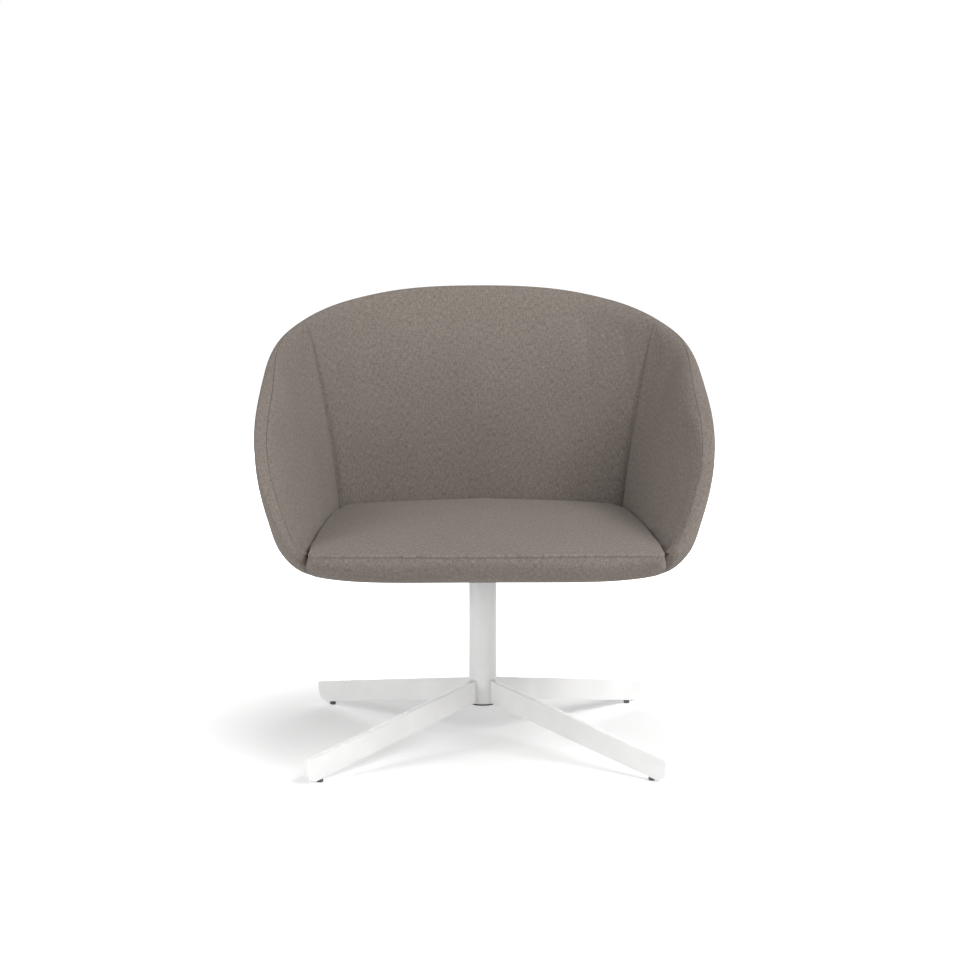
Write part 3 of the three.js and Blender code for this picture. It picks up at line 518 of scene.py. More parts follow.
def math_node(tree, operation, first, second=None):
    node = tree.nodes.new("ShaderNodeMath")
    node.operation = operation
    feed(tree, node.inputs[0], first)
    if second is not None:
        feed(tree, node.inputs[1], second)
    return node.outputs[0]


def mix_colours(tree, factor, first, second, blend="MIX"):
    node = tree.nodes.new("ShaderNodeMix")
    node.data_type = "RGBA"
    node.blend_type = blend
    for number, value in ((0, factor), (6, first), (7, second)):
        feed(tree, node.inputs[number], value)
    return node.outputs[2]


def noise(tree, vector, scale, detail=2.0, roughness=0.5):
    node = add(tree, "ShaderNodeTexNoise", Vector=vector, Scale=scale, Detail=detail, Roughness=roughness)
    return node.outputs["Fac"]


def stretched(tree, vector, x, y, z=1.0):
    node = tree.nodes.new("ShaderNodeVectorMath")
    node.operation = "MULTIPLY"
    feed(tree, node.inputs[0], vector)
    feed(tree, node.inputs[1], (x, y, z))
    return node.outputs[0]


def ranged(tree, value, source, target):
    """Maps a range of values, given as its ends, onto another"""
    ends = {"From_Min": source[0], "From_Max": source[1], "To_Min": target[0], "To_Max": target[1]}
    return add(tree, "ShaderNodeMapRange", Value=value, **ends).outputs[0]


def bump(tree, shader, height, strength, distance):
    node = add(tree, "ShaderNodeBump", Height=height, Strength=strength, Distance=distance)
    tree.links.new(node.outputs[0], shader.inputs["Normal"])


# Materials
THREAD_PITCH = 0.0011
DARK_YARN = (0.134, 0.116, 0.101, 1)
LIGHT_YARN = (0.256, 0.224, 0.198, 1)
THREAD_SHADOW = (0.078, 0.066, 0.058, 1)
FABRIC_SHEEN = (0.9, 0.86, 0.82, 1)
DARK_PAINT = (0.83, 0.827, 0.824, 1)
LIGHT_PAINT = (0.88, 0.877, 0.873, 1)

# Streaks of yarn: fineness across and along the weave, roughness and weight
YARN_STREAKS = [
    (560, 130, 0.55, 0.42),
    (130, 560, 0.6, 0.33),
    (1000, 360, 0.6, 0.25),
]


def yarn_streaks(tree, spot):
    """Short crossed streaks of lighter and darker yarn"""
    yarn = None
    for fine_across, fine_along, roughness, weight in YARN_STREAKS:
        streaks = noise(tree, stretched(tree, spot, fine_across, fine_along), 1.0, 2.0, roughness)
        weighted = math_node(tree, "MULTIPLY", streaks, weight)
        yarn = weighted if yarn is None else math_node(tree, "ADD", yarn, weighted)
    return yarn


def weave_threads(tree, spot):
    """Height of a plain weave's threads, from 0 to 1"""
    split = tree.nodes.new("ShaderNodeSeparateXYZ")
    tree.links.new(spot, split.inputs[0])
    turns = 2 * math.pi / THREAD_PITCH
    warp = math_node(tree, "SINE", math_node(tree, "MULTIPLY", split.outputs["X"], turns))
    weft = math_node(tree, "SINE", math_node(tree, "MULTIPLY", split.outputs["Y"], turns))
    return ranged(tree, math_node(tree, "MULTIPLY", warp, weft), (-1.0, 1.0), (0.0, 1.0))


def woven_fabric():
    """Fine plain weave in warm grey, with lighter and darker yarns that run in short streaks"""
    look, tree, shader = new_material("woven_fabric")
    place = tree.nodes.new("ShaderNodeUVMap")
    place.uv_map = "weave"
    spot = place.outputs[0]
    yarn = yarn_streaks(tree, spot)
    threads = weave_threads(tree, spot)
    colour = mix_colours(tree, ranged(tree, yarn, (0.38, 0.62), (0.0, 1.0)), DARK_YARN, LIGHT_YARN)
    cloudy = ranged(tree, noise(tree, spot, 9.0, 3.0), (0.3, 0.7), (0.97, 1.03))
    cloud_colour = tree.nodes.new("ShaderNodeCombineColor")
    for socket in cloud_colour.inputs:
        tree.links.new(cloudy, socket)
    colour = mix_colours(tree, 1.0, colour, cloud_colour.outputs[0], "MULTIPLY")
    colour = mix_colours(tree, ranged(tree, threads, (0.0, 0.5), (0.22, 0.0)), colour, THREAD_SHADOW)
    feed_all(tree, shader, Base_Color=colour, Roughness=ranged(tree, yarn, (0.3, 0.7), (0.97, 0.86)))
    feed_all(tree, shader, Specular_IOR_Level=0.12, Sheen_Weight=0.05)
    feed_all(tree, shader, Sheen_Roughness=0.45, Sheen_Tint=FABRIC_SHEEN)
    thread_relief = math_node(tree, "MULTIPLY", threads, 0.7)
    relief = math_node(tree, "ADD", thread_relief, math_node(tree, "MULTIPLY", yarn, 0.8))
    bump(tree, shader, relief, strength=0.5, distance=0.0004)
    return look


def powder_paint():
    """White satin powder paint with a faint orange-peel surface"""
    look, tree, shader = new_material("white_paint")
    place = tree.nodes.new("ShaderNodeTexCoord").outputs["Object"]
    peel = noise(tree, place, 900.0, 2.0)
    patches = noise(tree, place, 14.0, 3.0)
    colour = mix_colours(tree, ranged(tree, patches, (0.35, 0.65), (0, 1)), DARK_PAINT, LIGHT_PAINT)
    feed_all(tree, shader, Base_Color=colour, Roughness=ranged(tree, patches, (0.3, 0.7), (0.34, 0.42)))
    bump(tree, shader, peel, strength=0.08, distance=0.0002)
    return look


def plain_surface(name, dark, light, scale, rough, metallic=0.0, grain=(1, 1, 1), relief=0.1):
    """A moulded, sawn or brushed surface: two tones of one colour along a grain"""
    look, tree, shader = new_material(name)
    place = tree.nodes.new("ShaderNodeTexCoord").outputs["Object"]
    pattern = noise(tree, stretched(tree, place, *grain), scale, 4.0, 0.6)
    colour = mix_colours(tree, ranged(tree, pattern, (0.3, 0.7), (0, 1)), (*dark, 1), (*light, 1))
    roughness = ranged(tree, pattern, (0.3, 0.7), rough)
    feed_all(tree, shader, Base_Color=colour, Roughness=roughness, Metallic=metallic)
    bump(tree, shader, pattern, strength=relief, distance=0.0003)
    return look


fabric = woven_fabric()
paint = powder_paint()
glide_plastic = plain_surface("glide_plastic", (0.07, 0.07, 0.075), (0.11, 0.11, 0.115), 500, (0.5, 0.65))
bush = plain_surface("bush_plastic", (0.024, 0.025, 0.028), (0.04, 0.042, 0.046), 300, (0.4, 0.55))
steel = plain_surface("zinc_steel", (0.45, 0.46, 0.47), (0.6, 0.61, 0.62), 120, (0.28, 0.42), 1.0, (1, 1, 12))
plywood = plain_surface("plywood", (0.42, 0.27, 0.13), (0.6, 0.42, 0.24), 40, (0.6, 0.75), grain=(1, 8, 20))
moulding = plain_surface("moulding", (0.035, 0.037, 0.04), (0.055, 0.058, 0.062), 260, (0.5, 0.65))
felt = plain_surface("black_felt", (0.008, 0.008, 0.009), (0.022, 0.022, 0.024), 700, (0.9, 1.0), relief=0.5)
inner_looks = {"bush_plastic": bush, "steel": steel, "plywood": plywood, "moulding": moulding, "felt": felt}


# Edge seam of the cover, which the pads share
RIM_ROUND = 8.0
BACK_SEAM_DEPTH = 3.0
ARM_SEAM_DEPTH = 21.0
ARM_SEAM_TURN = math.radians(46)
SEAM_SLIT = 0.12
SEAM_ROUND = 1.1
SEAM_ROWS = 5
SEAM_REACH = 2.6


def seam_depth(angle):
    """How far the edge seam lies from the outer skin: wide on the arms, out of sight round the back"""
    folded = fold(angle)
    wide = BACK_SEAM_DEPTH + (ARM_SEAM_DEPTH - BACK_SEAM_DEPTH) * ramp((CREASE - folded) / ARM_SEAM_TURN)
    return between(wide, LIP_THICKNESS, ramp((EDGE_TAPER_START - folded) / (EDGE_TAPER_START - ARM_END)))


def seam_edge(angles, rim, side):
    """Rows that roll over into the edge seam, from the face down. side is -1 outside it and 1 inside."""
    deep = seam_depth(angles)
    rows = []
    for turn in np.linspace(0, QUARTER, SEAM_ROWS):
        depth = deep + side * (SEAM_SLIT + SEAM_ROUND * (1 - math.sin(turn)))
        drop = rolled(depth, RIM_ROUND) + SEAM_ROUND * (1 - math.cos(turn))
        rows.append(layer(angles, rim + drop, depth))
    depth = deep + side * SEAM_SLIT
    rows.append(layer(angles, rim + rolled(depth, RIM_ROUND) + SEAM_REACH, depth))
    return rows


# Outer cover
RING_STEPS = 145
LEAST_RING_STEP = math.radians(0.3)
COVER_ROWS = 60
COVER_ROW_SPREAD = 1.15
ROUND_ROWS = 6
STRIP_SHARES = (0.3, 0.6, 0.9)
STRIP_SWELL = 0.5
SEAM_ALLOWANCE = 2.0
SEAM_ALLOWANCE_DROP = 5.0
LINING_ROWS = 14


def ring_angles():
    """Angles all round the cover, with some exactly where its lip begins and the arms end"""
    right = np.linspace(-QUARTER, QUARTER, RING_STEPS)
    special = np.array([LIP_START, (LIP_START + ARM_END) / 2, ARM_END])
    right = right[np.abs(right[:, None] - special).min(1) > LEAST_RING_STEP]
    right = np.sort(np.concatenate([right, special]))
    left = math.pi - right[1:-1][::-1]
    return np.concatenate([right, left])


def cover_rows(angles):
    """Rows up the outside, over the rounded rim, across its edge strip, into the seam and down the inside"""
    rim = rim_station(angles)
    deep = seam_depth(angles)
    rows = []
    for share in np.linspace(1, 0, COVER_ROWS) ** COVER_ROW_SPREAD:
        rows.append(skin(angles, rim + RIM_ROUND + (RIB_LENGTH - rim - RIM_ROUND) * share))
    flat = deep - SEAM_SLIT - SEAM_ROUND
    last = np.arccos(np.clip(1 - flat / RIM_ROUND, 0, 1))
    for share in np.linspace(0, 1, ROUND_ROWS + 1)[1:]:
        turn = last * share
        rows.append(layer(angles, rim + RIM_ROUND * (1 - np.sin(turn)), RIM_ROUND * (1 - np.cos(turn))))
    rounded = rows[-1]
    has_strip = (flat > RIM_ROUND)[:, None]
    for share in STRIP_SHARES:
        swell = STRIP_SWELL * math.sin(math.pi * share) * ramp(flat / RIM_ROUND - 1)
        strip = layer(angles, rim - swell, between(RIM_ROUND, np.maximum(flat, RIM_ROUND), share))
        rows.append(np.where(has_strip, strip, rounded))
    rows += seam_edge(angles, rim, -1)
    depth = np.maximum(deep - SEAM_SLIT - SEAM_ALLOWANCE, COVER_THICKNESS / 2)
    rows.append(layer(angles, rim + SEAM_ALLOWANCE_DROP, depth))
    start = rim + PAD_TOP_DROP
    for share in np.linspace(0, 1, LINING_ROWS):
        rows.append(layer(angles, start + (RIB_LENGTH - start) * share, COVER_THICKNESS))
    rows.append(rows[0])
    return np.stack(rows)


def build_cover():
    """The cover, with its weave upright outside and along the rim on its edge strip"""
    angles = ring_angles()
    points = cover_rows(angles)
    along = chord(points)
    widest = int(np.argmax(plan_radius(points[:COVER_ROWS]).mean(1)))
    across = chord(points[widest])
    across = across - across[np.argmin(np.abs(angles - QUARTER))]
    outside = slice(0, COVER_ROWS + 1)
    over_rim = slice(COVER_ROWS, None)
    surface = Surface()
    surface.grid(points[outside], along[outside], across, wrap=True)
    rim_run = chord(points[COVER_ROWS + ROUND_ROWS - 1])
    surface.grid(points[over_rim], rim_run, along[over_rim] - along[COVER_ROWS], wrap=True)
    piece = surface.piece("cover_fabric")
    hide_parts("outer_cover")


# Inner pads, which roll over the rim and run down to the seat
CREASE_GAP = 0.0006
PAD_SPACING = 5.0
PAD_SAMPLES = 600
PAD_ROLL = 15.0
PAD_ROLL_REACH = 26.0
PAD_CREST_ROWS = 5
PAD_BEND_ROWS = 8
PAD_THICKENED_PART = 0.5
PAD_SIDE_ROLL = 6.0
PAD_SIDE_SHARE = 0.03
PAD_FOOT_ROLL = 3.0
PAD_BACK_ROWS = 40
PAD_BACK_DROP = 0.4
PAD_SHALLOW_DROP = 5.0
PAD_DEEP_DROP = 7.5
PAD_HELD_TOP = 2
PAD_HELD_EDGE = 3
PAD_PRESSURE = 3.0
PAD_SWELL = 0.0035


def pad_angles(first, last):
    """Angles from first to last, close together at both ends, and their places along the pad"""
    fine = np.linspace(first, last, PAD_SAMPLES)
    run = chord(pad_face(fine, 0.5))
    places = clustered(run[-1], PAD_SIDE_ROLL, PAD_SPACING)
    return np.interp(places, run, fine), places


def pad_front(angles, rim, deep, parts):
    """Rows of a pad's face: inward from the seam, over the crest's roll and down the panel at its parts"""
    thick = np.maximum(edge_thickness(angles), deep + PAD_ROLL)
    over = thick - edge_thickness(angles)
    start = deep + SEAM_SLIT + SEAM_ROUND
    inward = -ring_at(angles, 1.0, 0.0)

    def face_row(part):
        return pad_face(angles, part) + inward * ((1 - ramp(part / PAD_THICKENED_PART)) * over)[:, None]

    rows = []
    for share in np.linspace(0, 1, PAD_CREST_ROWS):
        depth = np.maximum(start + (thick - PAD_ROLL - start) * share, start)
        rows.append(layer(angles, rim + rolled(depth, RIM_ROUND), depth))
    begin, end, below = rows[-1], face_row(parts[0]), face_row(parts[1])
    slope = (end - below) / np.maximum((end - below)[:, 2:], TINY)
    corner = end + slope * (begin[:, 2:] - end[:, 2:])
    for share in np.linspace(0, 1, PAD_BEND_ROWS + 2)[1:-1]:
        rows.append(bend(begin, corner, end, share))
    rows.extend(face_row(part) for part in parts)
    return np.stack(rows)


def pad_back(angles, rim, deep):
    """Rows of a pad's hidden side: under the rim's roll, then down along the moulded shell"""
    beside = deep + SEAM_SLIT
    drop = np.where(beside < PAD_START, PAD_SHALLOW_DROP, PAD_DEEP_DROP)
    rows = [layer(angles, rim + drop, np.maximum(beside, PAD_START))]
    top = rim + PAD_TOP_DROP + PAD_BACK_DROP
    down = foot_station(angles)
    for share in np.linspace(0, 1, PAD_BACK_ROWS):
        rows.append(layer(angles, top + (down - top) * share, PAD_START))
    return rows


def build_pad(name, node, first, last, weave_turn):
    """A pad from its seam over the rim to its foot, with softly rolled sides, swelled a little"""
    angles, places = pad_angles(first, last)
    rim = rim_station(angles)
    deep = seam_depth(angles)
    height = float((pad_face(angles, 0.0)[:, 2] - pad_face(angles, 1.0)[:, 2]).max())
    parts = clustered(height, PAD_FOOT_ROLL, PAD_SPACING) / height
    parts = parts[parts * height > PAD_ROLL_REACH]
    face = pad_front(angles, rim, deep, parts)
    normal = grid_normals(face)
    middle = (len(face) // 2, len(angles) // 2)
    if (normal[middle][:2] * face[middle][:2]).sum() < 0:
        normal = -normal
    side = PAD_SIDE_SHARE * rolled(np.minimum(places, places[-1] - places), PAD_SIDE_ROLL)[None, :]
    foot_gap = np.concatenate([np.full(len(face) - len(parts), height), (1 - parts) * height])
    low = rolled(foot_gap, PAD_FOOT_ROLL)[:, None]
    face = face + normal * np.minimum(side + low, PAD_SIDE_ROLL)[..., None]
    groove = np.stack(seam_edge(angles, rim, 1)[:0:-1]) + normal[0] * side[0][None, :, None]
    front = np.concatenate([groove, face])
    back = np.stack([front[0], *pad_back(angles, rim, deep)])
    across, along = turned_weave(places, chord(front), weave_turn)
    surface = Surface()
    surface.grid(front, along, across)
    surface.grid(back, chord(back), places, flip=True)
    surface.grid(np.stack([front[-1], back[-1]]), along[-1], across[-1])
    for edge in (0, -1):
        surface.close_side(front[:, edge], back[:, edge], flip=edge == 0)
    piece = surface.piece(name)
    inner = slice(PAD_HELD_EDGE, -PAD_HELD_EDGE)
    held = surface.held_but(front[len(groove) + PAD_HELD_TOP:][:-PAD_HELD_EDGE, inner])
    inflate(piece, held, PAD_PRESSURE, PAD_SWELL)
    finer(piece)
    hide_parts(node)


# Seat cushion: its top
CUSHION_CORNER = math.radians(-49.1)
CUSHION_SPACING = 5.0
CUSHION_SAMPLES = 1500
SEAM_BACK_RISE = 11.0
SEAM_RISE_START = math.radians(48)
SEAM_RISE_TURN = math.radians(138)
SEAM_RISE_POWER = 0.75
REAR_CORNER_CUT = 9.0
REAR_CORNER_TURN = math.radians(7)
CROWN_RISE = 9.0
CROWN_POWER = 5
SEAM_SINK = 2.2
TOP_ROLL = 6.0

# Seat cushion: its walls, with boxing at the sides and back and a band down the front
SEAT_BASE = 330.0
BASE_LIFT = 1.0
BASE_INSET = 26.0
BASE_INSET_REACH = 120.0
WALL_ROLL = 2.6
WALL_SHARES = np.concatenate([[0, 0.012, 0.03, 0.06, 0.1], np.linspace(0.16, 1, 15)])
WALL_TUCK = 9.0
WALL_TUCK_SHARE = 0.3
WALL_BULGE = 0.8
HEM_ROWS = 5
HEM_INSET = 10.0
HEM_WIDTH = 12.0
BAND_END = math.radians(44.6)
BAND_END_TURN = math.radians(1.2)
BAND_SPREAD = math.radians(2.2)
BAND_SPREAD_SHARE = 0.35
BAND_SPREAD_START = math.radians(40)
BAND_SPREAD_TURN = math.radians(6)
BAND_CLEARANCE = 0.8
BAND_PROUD = 1.6
BAND_PROUD_SHARE = 0.3
BAND_PROUD_POWER = 12
BAND_HANG_SHARE = 0.22
BAND_TOP_SHARES = (0.5, 0.9)
BAND_FOOT_SHARE = 0.905
BAND_HEM_CLEARANCE = 0.5
CUSHION_HELD_EDGE = 4
CUSHION_PRESSURE = 3.5
CUSHION_SWELL = 0.006


def outline_angles(first, last):
    """Angles along the cushion's seam from first to last, close together at both ends"""
    fine = np.linspace(first, last, CUSHION_SAMPLES)
    run = chord(ring_at(fine, cushion_reach(fine), 0.0))
    return np.interp(clustered(run[-1], TOP_ROLL, CUSHION_SPACING), run, fine)


def cushion_seam(angles):
    """Points of the cushion's seam: cut in at the creases, level at the front and higher along the back"""
    folded = fold(angles)
    reach = cushion_reach(angles) - REAR_CORNER_CUT * np.exp(-(((folded - CREASE) / REAR_CORNER_TURN) ** 2))
    rise = SEAM_BACK_RISE * np.clip((folded + SEAM_RISE_START) / SEAM_RISE_TURN, 0, 1) ** SEAM_RISE_POWER
    return ring_at(angles, reach, SEAM_HEIGHT + rise)


def cushion_top():
    """Grid of the cushion's domed top inside its seam, in rows from the front and columns from the left"""
    front_angles = outline_angles(-math.pi - CUSHION_CORNER, CUSHION_CORNER)
    right_angles = outline_angles(CUSHION_CORNER, CREASE)
    back_angles = outline_angles(CREASE, math.pi - CREASE)[::-1]
    left_angles = math.pi - right_angles
    lines = (front_angles, right_angles, back_angles, left_angles)
    front, right, back, left = (cushion_seam(angles) for angles in lines)
    u, v = line_shares(front), line_shares(right)
    back_shares = line_shares(back)
    back = np.stack([np.interp(u, back_shares, back[:, k]) for k in range(3)], -1)
    near = np.minimum(u, 1 - u)[None, :] * float(np.linalg.norm(front[-1] - front[0]))
    near = np.minimum(near, np.minimum(v, 1 - v)[:, None] * float(np.linalg.norm(right[-1] - right[0])))
    dome = (1 - np.abs(2 * u[None, :] - 1) ** CROWN_POWER) * (1 - np.abs(2 * v[:, None] - 1) ** CROWN_POWER)
    u, v = u[None, :, None], v[:, None, None]
    top = (1 - v) * front[None] + v * back[None] + (1 - u) * left[:, None] + u * right[:, None]
    corners = (1 - u) * (1 - v) * front[0] + u * (1 - v) * front[-1]
    corners = corners + (1 - u) * v * back[0] + u * v * back[-1]
    top = top - corners
    top[..., 2] += CROWN_RISE * dome + TOP_ROLL - rolled(near, TOP_ROLL)
    border = np.ones(near.shape, bool)
    border[1:-1, 1:-1] = False
    top[border, :2] *= (1 - SEAM_SINK / plan_radius(top)[border])[:, None]
    return top


def border_of(grid):
    """Points along a grid's border, once round from its first corner"""
    return np.concatenate([grid[0, :-1], grid[:-1, -1], grid[-1, :0:-1], grid[:0:-1, 0]])


def cushion_walls(ring):
    """Rows from the seam's ring down the boxing. At the front they go down the band and up behind it."""
    angles = np.arctan2(ring[:, 1], ring[:, 0])
    folded = fold(angles)
    reach = plan_radius(ring) + SEAM_SINK
    level = ring[:, 2]
    low = SEAT_BASE + BASE_LIFT
    first, last = (share * RIB_LENGTH for share in BAND_TOP_SHARES)
    begin = last_held(first, last, lambda station: skin(angles, station)[..., 2] > SEAM_HEIGHT)
    finish = BAND_FOOT_SHARE * RIB_LENGTH
    spread_here = BAND_SPREAD * ramp((-folded - BAND_SPREAD_START) / BAND_SPREAD_TURN)
    spread_here = spread_here * np.sign(np.cos(angles))
    proud_here = BAND_PROUD * np.abs(np.sin(angles)) ** BAND_PROUD_POWER
    boxing, band = [], []
    for share in WALL_SHARES:
        drop = share * (level - low)
        tuck = WALL_TUCK * ramp((share - 1 + WALL_TUCK_SHARE) / WALL_TUCK_SHARE)
        out = WALL_BULGE * math.sin(math.pi * share) - tuck - rolled(drop, WALL_ROLL)
        boxing.append(ring_at(angles, reach + out, level - drop))
        turned = angles + spread_here * ramp(share / BAND_SPREAD_SHARE)
        proud = BAND_CLEARANCE + proud_here * ramp(share / BAND_PROUD_SHARE)
        cloth = layer(turned, begin + (finish - begin) * share, -proud)
        hang = ring_at(angles, reach - rolled(drop, WALL_ROLL), cloth[:, 2])
        band.append(between(hang, cloth, ramp(share / BAND_HANG_SHARE)))
    for share in np.linspace(0, 1, HEM_ROWS):
        boxing.append(ring_at(angles, reach - HEM_INSET - HEM_WIDTH * share, low))
        band.append(layer(turned, finish - share * (finish - LIP_STATION), -BAND_HEM_CLEARANCE))
    boxing.append(ring_at(angles, reach - BASE_INSET, low))
    band.append(boxing[-1])
    banded = ramp((-folded - BAND_END) / BAND_END_TURN)[None, :, None]
    walls = between(np.stack(boxing), np.stack(band), banded)
    walls[0] = ring
    return walls


def cushion_base(top):
    """The cushion's underside: its top drawn in and laid flat over the board"""
    radius = plan_radius(top)
    inset = BASE_INSET * np.clip(radius / BASE_INSET_REACH, 0, 1)
    base = top * ((radius - inset) / np.maximum(radius, TINY))[..., None]
    base[..., 2] = SEAT_BASE + BASE_LIFT
    return base


def build_cushion():
    """The cushion, with its weave straight over the top and round its walls"""
    top = cushion_top()
    base = cushion_base(top)
    ring = border_of(top)
    walls = np.concatenate([cushion_walls(ring), border_of(base)[None]])
    walls = np.concatenate([walls, walls[:, :1]], 1)
    across = chord(np.concatenate([ring, ring[:1]]))
    across = across - across[(top.shape[1] - 1) // 2]
    surface = Surface()
    surface.grid(top, top[..., 1], top[..., 0])
    surface.grid(walls, -chord(walls), across, flip=True)
    surface.grid(base, base[..., 1], base[..., 0], flip=True)
    piece = surface.piece("seat_cushion_fabric")
    inner = slice(CUSHION_HELD_EDGE, -CUSHION_HELD_EDGE)
    inflate(piece, surface.held_but(top[inner, inner]), CUSHION_PRESSURE, CUSHION_SWELL)
    finer(piece)
    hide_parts("seat_cushion")


# Base pieces
COLUMN_RADIUS = 22.5
COLUMN_BORE = 19.5
COLUMN_BOTTOM = 65.0
COLUMN_BEVEL = 0.8
COLUMN_RINGS = (77.0, 140.0, 200.0)
COLUMN_SIDES = 96
LEG_TOP = 103.5
LEG_HEIGHT = 37.0
LEG_REACH = 395.0
LEG_THICKNESS = 10.0
LEG_BEVEL = 0.9
LEG_ROOT = 2.0
LEG_TOP_CORNER = 4.0
LEG_TOE = 24.0
LEG_TOE_HEIGHT = 27.0
LEG_TOE_CORNER = 8.0
SEAT_GAP = 0.3
GLIDE_HEIGHT = 5.2
GLIDE_REACH = 363.0
GLIDE_RADIUS = 5.0
GLIDE_RINGS = [(4.2, 0.0), (4.8, 0.25), (GLIDE_RADIUS, 0.9)]
LEG_SHARP_ANGLE = math.radians(32)
GLIDE_SHARP_ANGLE = math.radians(45)
GLIDE_SIDES = 40
WELD_RADIUS = 1.3
WELD_GAP = 0.2
WELD_BULGE = 0.3
LEG_FALL = LEG_TOP - LEG_HEIGHT - SEAT_GAP - GLIDE_HEIGHT
LEG_SLOPE = LEG_FALL / (GLIDE_REACH - COLUMN_RADIUS)
LEG_TURNS = [("rear_right", 45), ("rear_left", 135), ("front_left", 225), ("front_right", 315)]


def turned_points(points, turn):
    """Points turned about the column"""
    c, s = math.cos(turn), math.sin(turn)
    return [(x * c - y * s, x * s + y * c, z) for x, y, z in points]


def build_column():
    """A turned tube, from the closed outline of its wall as [radius, height] pairs"""
    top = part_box("column_tube")[1].z / MM
    bottom, bore, r = COLUMN_BOTTOM, COLUMN_BORE, COLUMN_RADIUS
    b, nick = COLUMN_BEVEL, COLUMN_BEVEL * 0.3
    outline = [
        (bore, bottom + b), (bore + nick, bottom + nick), (bore + b, bottom),
        (r - b, bottom), (r - nick, bottom + nick), (r, bottom + b),
        *((r, height) for height in COLUMN_RINGS),
        (r, top - b), (r - nick, top - nick), (r - b, top),
        (bore, top), (bore, COLUMN_RINGS[1]),
    ]
    points, faces = [], []
    for i, (radius, height) in enumerate(outline):
        below = (i + 1) % len(outline)
        for j, angle in enumerate(np.linspace(0, 2 * math.pi, COLUMN_SIDES, endpoint=False)):
            beside = (j + 1) % COLUMN_SIDES
            points.append((radius * math.cos(angle), radius * math.sin(angle), height))
            rows = ((i, j), (i, beside), (below, beside), (below, j))
            faces.append([row * COLUMN_SIDES + side for row, side in rows])
    piece = make_piece("column_painted_tube", points, faces, paint, "base")
    piece.data.set_sharp_from_angle(angle=math.radians(40))
    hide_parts("column_tube")


def leg_top_at(r):
    return LEG_TOP - (r - COLUMN_RADIUS) * LEG_SLOPE


def leg_bottom_at(r):
    return leg_top_at(r) - LEG_HEIGHT


def leg_outline():
    """Side view of a leg as [distance from the axis, height] pairs: a straight bar with a rounded toe"""
    root, tip, toe = COLUMN_RADIUS - LEG_ROOT, LEG_REACH, LEG_REACH - LEG_TOE
    before_tip = tip - LEG_TOP_CORNER
    toe_height = leg_bottom_at(toe) + LEG_TOE_HEIGHT
    top_corner = np.array([
        (before_tip, leg_top_at(before_tip)), (tip, leg_top_at(tip)), (tip, leg_top_at(tip) - LEG_TOP_CORNER)
    ])
    toe_corner = np.array([
        (tip, toe_height), (tip, leg_bottom_at(tip - LEG_TOE_CORNER)), (toe, leg_bottom_at(toe))
    ])
    points = [(root, leg_top_at(root)), tuple(top_corner[0])]
    points += [tuple(bend(*top_corner, share)) for share in np.linspace(0.25, 1, 4)]
    points.append((tip, toe_height))
    points += [tuple(bend(*toe_corner, share)) for share in np.linspace(0.1, 1, 12)]
    points.append((root, leg_bottom_at(root)))
    return points


def build_leg(name, turn):
    """A flat plate on edge with bevelled rims, turned to its place round the column"""
    mesh = bmesh.new()
    flat = [mesh.verts.new((r * MM, -LEG_THICKNESS / 2 * MM, z * MM)) for r, z in leg_outline()]
    face = mesh.faces.new(flat)
    out = bmesh.ops.extrude_face_region(mesh, geom=[face])
    moved = [v for v in out["geom"] if isinstance(v, bmesh.types.BMVert)]
    bmesh.ops.translate(mesh, verts=moved, vec=(0, LEG_THICKNESS * MM, 0))
    bmesh.ops.recalc_face_normals(mesh, faces=mesh.faces[:])
    rims = [e for e in mesh.edges if abs(e.verts[0].co.y - e.verts[1].co.y) < TINY]
    bmesh.ops.bevel(mesh, geom=rims, offset=LEG_BEVEL * MM, segments=3, profile=0.5, affect="EDGES")
    bmesh.ops.rotate(mesh, verts=mesh.verts[:], cent=(0, 0, 0), matrix=Matrix.Rotation(turn, 3, "Z"))
    data = bpy.data.meshes.new(f"leg_plate_{name}")
    mesh.to_mesh(data)
    mesh.free()
    data.shade_smooth()
    data.set_sharp_from_angle(angle=LEG_SHARP_ANGLE)
    piece = add_piece(f"leg_plate_{name}", data, paint, "base")
    weight = piece.modifiers.new("even", "WEIGHTED_NORMAL")
    weight.keep_sharp = True
    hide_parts(f"leg_{name}")


def build_weld(name, turn):
    """A painted fillet where a leg meets the column, on both faces and over the top and bottom"""
    half = LEG_THICKNESS / 2 + WELD_GAP
    near = math.sqrt(COLUMN_RADIUS**2 - half**2) + WELD_BULGE
    far = near + WELD_BULGE
    high = LEG_TOP + WELD_GAP
    low = LEG_TOP - LEG_HEIGHT - WELD_GAP
    path = [
        (near, half, low), (near, half, high), (far, 0, high + WELD_BULGE),
        (near, -half, high), (near, -half, low), (far, 0, low - WELD_BULGE),
    ]
    curve = bpy.data.curves.new(f"weld_{name}", "CURVE")
    curve.dimensions = "3D"
    curve.bevel_depth = WELD_RADIUS * MM
    curve.bevel_resolution = 3
    line = curve.splines.new("POLY")
    line.points.add(len(path) - 1)
    for point, (x, y, z) in zip(line.points, turned_points(path, turn)):
        point.co = (x * MM, y * MM, z * MM, 1)
    line.use_cyclic_u = True
    add_piece(f"weld_{name}", curve, paint, "base")


